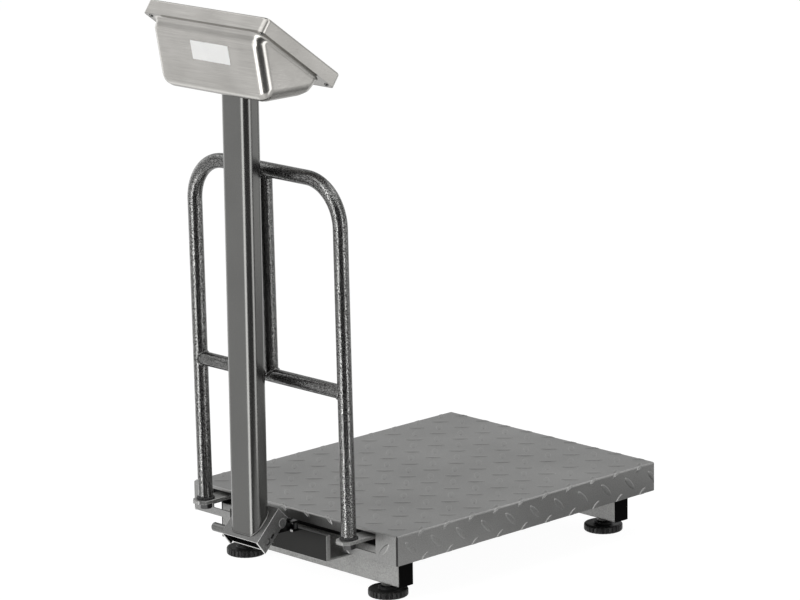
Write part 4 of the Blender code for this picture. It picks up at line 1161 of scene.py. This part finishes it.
# Six grey silicone keys stand through the tray, with rounded corners and a slight dish.
# Each has one plain white sign: power, zero, down, up, dot and bar.
KEY_TOP, KEY_LOW = 0.0009, -0.0061
KEY_CORNER, KEY_STEPS = 0.003, 6
KEY_CROWN = ((0.0, 0.0006), (0.0002, 0.0002), (0.0006, 0.0), (0.0016, 0.0001), (0.004, 0.00025))
SIGN_THICK, SIGN_SINK = 0.00008, 0.00022
SIGN_SIZE, SIGN_STEPS = 0.0031, 36
SIGN_SAME_SPOT = 1e-7
POWER_LINE, ZERO_LINE, BAR_LINE = 0.0007, 0.0008, 0.0010
POWER_OPEN, POWER_SWEEP = math.radians(120), math.radians(300)
POWER_STROKE = (0.0008, 0.0036)
ARROW_FLAT, ARROW_TIP = 0.0018, 0.0028
DOT_RADIUS, ROUND_STEPS = 0.0016, 32


def silicone(name, dark, light):
    finish, tree = start_finish(name)
    grain = noise(tree, scale=1800, detail=2)
    cloud = noise(tree, scale=80, detail=3)
    close_finish(tree, {"Base Color": blend_colours(tree, cloud * 0.7 + grain * 0.3, dark, light),
                        "Roughness": 0.5 + grain * 0.15, "Normal": relief(tree, grain, depth=0.00005, strength=0.4)})
    return finish


def block_sign(points):
    return plate(points, 0, SIGN_THICK)


def ring_sign(radius, thick, start=0.0, sweep=2 * math.pi):
    points = [polar(radius, start + sweep * step / SIGN_STEPS) for step in range(SIGN_STEPS + 1)]
    builder = bmesh.new()
    for first, second in zip(points, points[1:]):
        inside = [(x * (1 - thick / radius), y * (1 - thick / radius)) for x, y in (first, second)]
        add_to(builder, block_sign([first, second, inside[1], inside[0]]))
    bmesh.ops.remove_doubles(builder, verts=builder.verts, dist=SIGN_SAME_SPOT)
    return builder


def stroke(half_wide, low, high):
    return block_sign([(-half_wide, low), (half_wide, low), (half_wide, high), (-half_wide, high)])


def arrow(flat, tip):
    return block_sign([(-SIGN_SIZE, flat), (SIGN_SIZE, flat), (0, tip)])


key_grey = silicone("key_grey", (0.30, 0.32, 0.34), (0.40, 0.42, 0.44))
sign_white = printed_sheet("sign_white", (0.78, 0.78, 0.77), (0.85, 0.85, 0.84))
power = ring_sign(SIGN_SIZE, POWER_LINE, POWER_OPEN, POWER_SWEEP)
add_to(power, stroke(POWER_LINE / 2, *POWER_STROKE))
signs = (power, ring_sign(SIGN_SIZE, ZERO_LINE), arrow(ARROW_FLAT, -ARROW_TIP), arrow(-ARROW_FLAT, ARROW_TIP),
         block_sign([polar(DOT_RADIUS, turn) for turn in turns(ROUND_STEPS)]),
         stroke(SIGN_SIZE, -BAR_LINE / 2, BAR_LINE / 2))
key_shape = (KEY_SIZE, KEY_CORNER, KEY_STEPS)
for number, (letter, key_x, sign) in enumerate(zip("abcdef", key_places, signs), 1):
    cap = bmesh.new()
    rings = [[(x, y, KEY_LOW) for x, y in inset_outline(*key_shape, 0.0)]]
    for inset, drop in KEY_CROWN:
        rings.append([(x, y, KEY_TOP - drop) for x, y in inset_outline(*key_shape, inset)])
    stack_rings(cap, rings)
    spot = panel_place @ Matrix.Translation((key_x, KEY_UP, 0))
    set_at(cap, spot)
    make_piece("press_key_%d" % number, cap, key_grey, "key_" + letter, ["key_%d" % number])
    set_at(sign, spot @ Matrix.Translation((0, 0, KEY_TOP - SIGN_SINK)))
    make_piece("key_sign_%d" % number, sign, sign_white, "key_" + letter)


# Inside the indicator: a green circuit board behind the display, and a wrapped battery on the floor.
# Neither shows from outside.
board, tree = start_finish("board_green")
tracks = tree.add("TexBrick", {"offset": 0.35}, {
    "Vector": tree.add("TexCoord", None, None, "Object"), "Scale": 90.0, "Color1": (0.012, 0.10, 0.04, 1),
    "Color2": (0.016, 0.14, 0.055, 1), "Mortar": (0.03, 0.26, 0.10, 1), "Mortar Size": 0.03})
close_finish(tree, {"Base Color": tracks, "Roughness": 0.3 + noise(tree, scale=400, detail=2) * 0.15})
coat_node("circuit_board", board)
coat_node("battery_pack", moulded_black("battery_wrap", 0.02, 0.35, 0.5))


# The studio: a pale floor that keeps a soft shadow, three soft boxes, a lit card that faces the
# indicator's end, and a grey card on the floor that only reflections show.
# Polished faces see white walls, a dark side where the camera stands, and a bright strip each side of it.
CAMERA_TURN = math.radians(225.90)
CAMERA_RISE = math.radians(13.35)
CAMERA_ROLL = math.radians(-0.80)
CAMERA_FAR = 5.29
CAMERA_AIM = Vector((-0.291, 0.2553, 0.447))
CAMERA_LENS, CAMERA_SENSOR = 189.0, 36
WALL_SCALE = 5.0
WALL_LEVELS = ((0.0, 0.14), (0.05, 0.14), (0.08, 0.20), (0.12, 0.40), (0.16, 0.20), (0.311, 0.20), (0.333, 0.85),
               (0.389, 0.85), (0.406, 0.026), (0.594, 0.026), (0.611, 0.60), (0.656, 0.60), (0.672, 0.13),
               (0.861, 0.13), (0.89, 0.30), (0.92, 0.20), (0.95, 0.14), (1.0, 0.14))
WALL_HEIGHT = ((0.0, 0.0), (0.10, 0.0), (0.18, 1.0), (0.79, 1.0), (0.86, 0.0), (1.0, 0.0))
RISE_SCALE = 1.2
RISE_LEVELS = ((0.0, 0.83), (0.30, 0.83), (0.42, 0.88), (0.50, 0.96), (0.58, 0.74), (0.64, 0.66), (0.72, 0.66),
               (0.80, 0.83), (0.93, 0.80), (0.97, 0.25), (1.0, 0.25))
FLOOR_LEVEL, CEILING_SCALE = 1.0, 2.0
CEILING_LEVELS = ((0.0, 0.22), (0.08, 0.22), (0.14, 1.0), (0.86, 1.0), (0.92, 0.22), (1.0, 0.22))
AMBIENT = 0.36
FLOOR_SIZE, FLOOR_PLACE = (60, 60, 1), (0, 0, -0.0003)
FLOOR_SHADE, FLOOR_GLOW, FLOOR_SHARE = 0.86, 1.10, 0.88
CARD_SIZE, CARD_PLACE = (0.50, 1.5, 1), (-0.46, -0.15, 0.0008)
CARD_START = 0.9
CARD_LEVELS = ((0.0, 0.60), (0.38, 0.60), (0.45, 0.20), (0.60, 0.22), (0.75, 0.45), (0.92, 0.75), (1.0, 0.75))


def stage_sheet(name, size, place, finish):
    """A flat sheet of the studio, not of the scale."""
    builder = bmesh.new()
    bmesh.ops.create_grid(builder, x_segments=1, y_segments=1, size=0.5)
    bmesh.ops.scale(builder, vec=size, verts=builder.verts)
    bmesh.ops.translate(builder, vec=place, verts=builder.verts)
    item = new_item(name, builder)
    item.data.materials.append(finish)
    return item


floor_white, tree = start_finish("floor_white")
lit = tree.add("BsdfPrincipled", None, {"Base Color": (FLOOR_SHADE, FLOOR_SHADE, FLOOR_SHADE, 1), "Roughness": 1.0,
                                        "Specular IOR Level": 0.0})
glow = tree.add("Emission", None, {"Color": (1, 1, 1, 1), "Strength": FLOOR_GLOW})
seen = tree.add("LightPath", None, None, "Is Camera Ray")
mixed = tree.add("MixShader", None, {0: seen * FLOOR_SHARE, 1: lit, 2: glow})
tree.add("OutputMaterial", None, {"Surface": mixed})
floor = stage_sheet("floor", FLOOR_SIZE, FLOOR_PLACE, floor_white)
floor.visible_glossy = False

card_grey, tree = start_finish("card_grey")
card_y = tree.add("SeparateXYZ", None, {0: tree.add("TexCoord", None, None, "Object")}, "Y")
card_shade = ramp(tree, card_y + CARD_START, CARD_LEVELS)
tree.add("OutputMaterial", None, {"Surface": tree.add("Emission", None, {"Color": card_shade, "Strength": 1.0})})
card = stage_sheet("floor_card", CARD_SIZE, CARD_PLACE, card_grey)
card.visible_camera = False
card.visible_diffuse = False
card.visible_transmission = False
card.visible_shadow = False

world = bpy.data.worlds.new("studio")
bpy.context.scene.world = world
world.use_nodes = True
world.node_tree.nodes.clear()
tree = Wire(world.node_tree)
direction = tree.add("TexCoord", None, None, "Generated")
away = Vector((math.sin(CAMERA_TURN), -math.cos(CAMERA_TURN), 0))
aside = Vector((-away.y, away.x, 0))
ahead = tree.add("VectorMath", {"operation": "DOT_PRODUCT"}, {0: direction, 1: away}, "Value")
sideways = tree.add("VectorMath", {"operation": "DOT_PRODUCT"}, {0: direction, 1: aside}, "Value")
height = tree.add("SeparateXYZ", None, {0: direction}, "Z")
turned = tree.sum("ARCTAN2", sideways, ahead)
turned = turned / (2 * math.pi) + 0.5
round_wall = ramp(tree, turned, WALL_LEVELS)
ceiling = ramp(tree, turned, CEILING_LEVELS) * CEILING_SCALE
share_up = height * 0.5 + 0.5
wall_height = ramp(tree, share_up, WALL_HEIGHT)
rise = ramp(tree, share_up, RISE_LEVELS)
beyond = FLOOR_LEVEL + (height > 0.0) * (ceiling - FLOOR_LEVEL)
level = (round_wall * wall_height * WALL_SCALE + beyond * (1.0 - wall_height)) * rise * RISE_SCALE
camera_ray = tree.add("LightPath", None, None, "Is Camera Ray")
glossy_ray = tree.add("LightPath", None, None, "Is Glossy Ray")
through_ray = tree.add("LightPath", None, None, "Is Transmission Ray")
plain = AMBIENT + (camera_ray + through_ray) * (1.0 - AMBIENT)
strength = plain * (1.0 - glossy_ray) + level * glossy_ray
background = tree.add("Background", None, {"Color": (1, 1, 1, 1), "Strength": strength})
tree.add("OutputWorld", None, {"Surface": background})


def soft_box(name, place, aim, size, power, mirrored=False):
    lamp = bpy.data.lights.new(name, "AREA")
    lamp.shape = "RECTANGLE"
    lamp.size, lamp.size_y = size
    lamp.energy = power
    item = bpy.data.objects.new(name, lamp)
    item.location = place
    item.rotation_euler = (Vector(aim) - Vector(place)).to_track_quat("-Z", "Y").to_euler()
    item.visible_glossy = mirrored
    item.visible_camera = False
    bpy.context.scene.collection.objects.link(item)


soft_box("overhead_box", place=(0, -0.1, 2.7), aim=(0, -0.1, 0), size=(2.4, 2.4), power=22)
soft_box("rear_box", place=(0.6, 2.9, 1.5), aim=(0, 0, 0.3), size=(2.2, 1.6), power=48)
soft_box("corner_box", place=(-1.3, 1.0, 0.5), aim=(-0.2, 0.15, 0.08), size=(0.5, 0.5), power=1.2)
soft_box("end_card", place=(-0.85, -0.70, 0.42), aim=(-0.1, 0.25, 0.70), size=(0.60, 0.60), power=0.60, mirrored=True)

back = Vector((math.sin(CAMERA_TURN) * math.cos(CAMERA_RISE), -math.cos(CAMERA_TURN) * math.cos(CAMERA_RISE),
               math.sin(CAMERA_RISE)))
right = (-back).cross(Vector((0, 0, 1))).normalized()
up = right.cross(-back)
right, up = (right * math.cos(CAMERA_ROLL) + up * math.sin(CAMERA_ROLL),
             up * math.cos(CAMERA_ROLL) - right * math.sin(CAMERA_ROLL))
camera_data = bpy.data.cameras.new("camera")
camera_data.lens = CAMERA_LENS
camera_data.sensor_width = CAMERA_SENSOR
camera = bpy.data.objects.new("camera", camera_data)
bpy.context.scene.collection.objects.link(camera)
turn_to = Matrix((right, up, back)).transposed().to_4x4()
camera.matrix_world = Matrix.Translation(CAMERA_AIM + back * CAMERA_FAR) @ turn_to
bpy.context.scene.camera = camera
bpy.context.scene.view_settings.view_transform = "Standard"
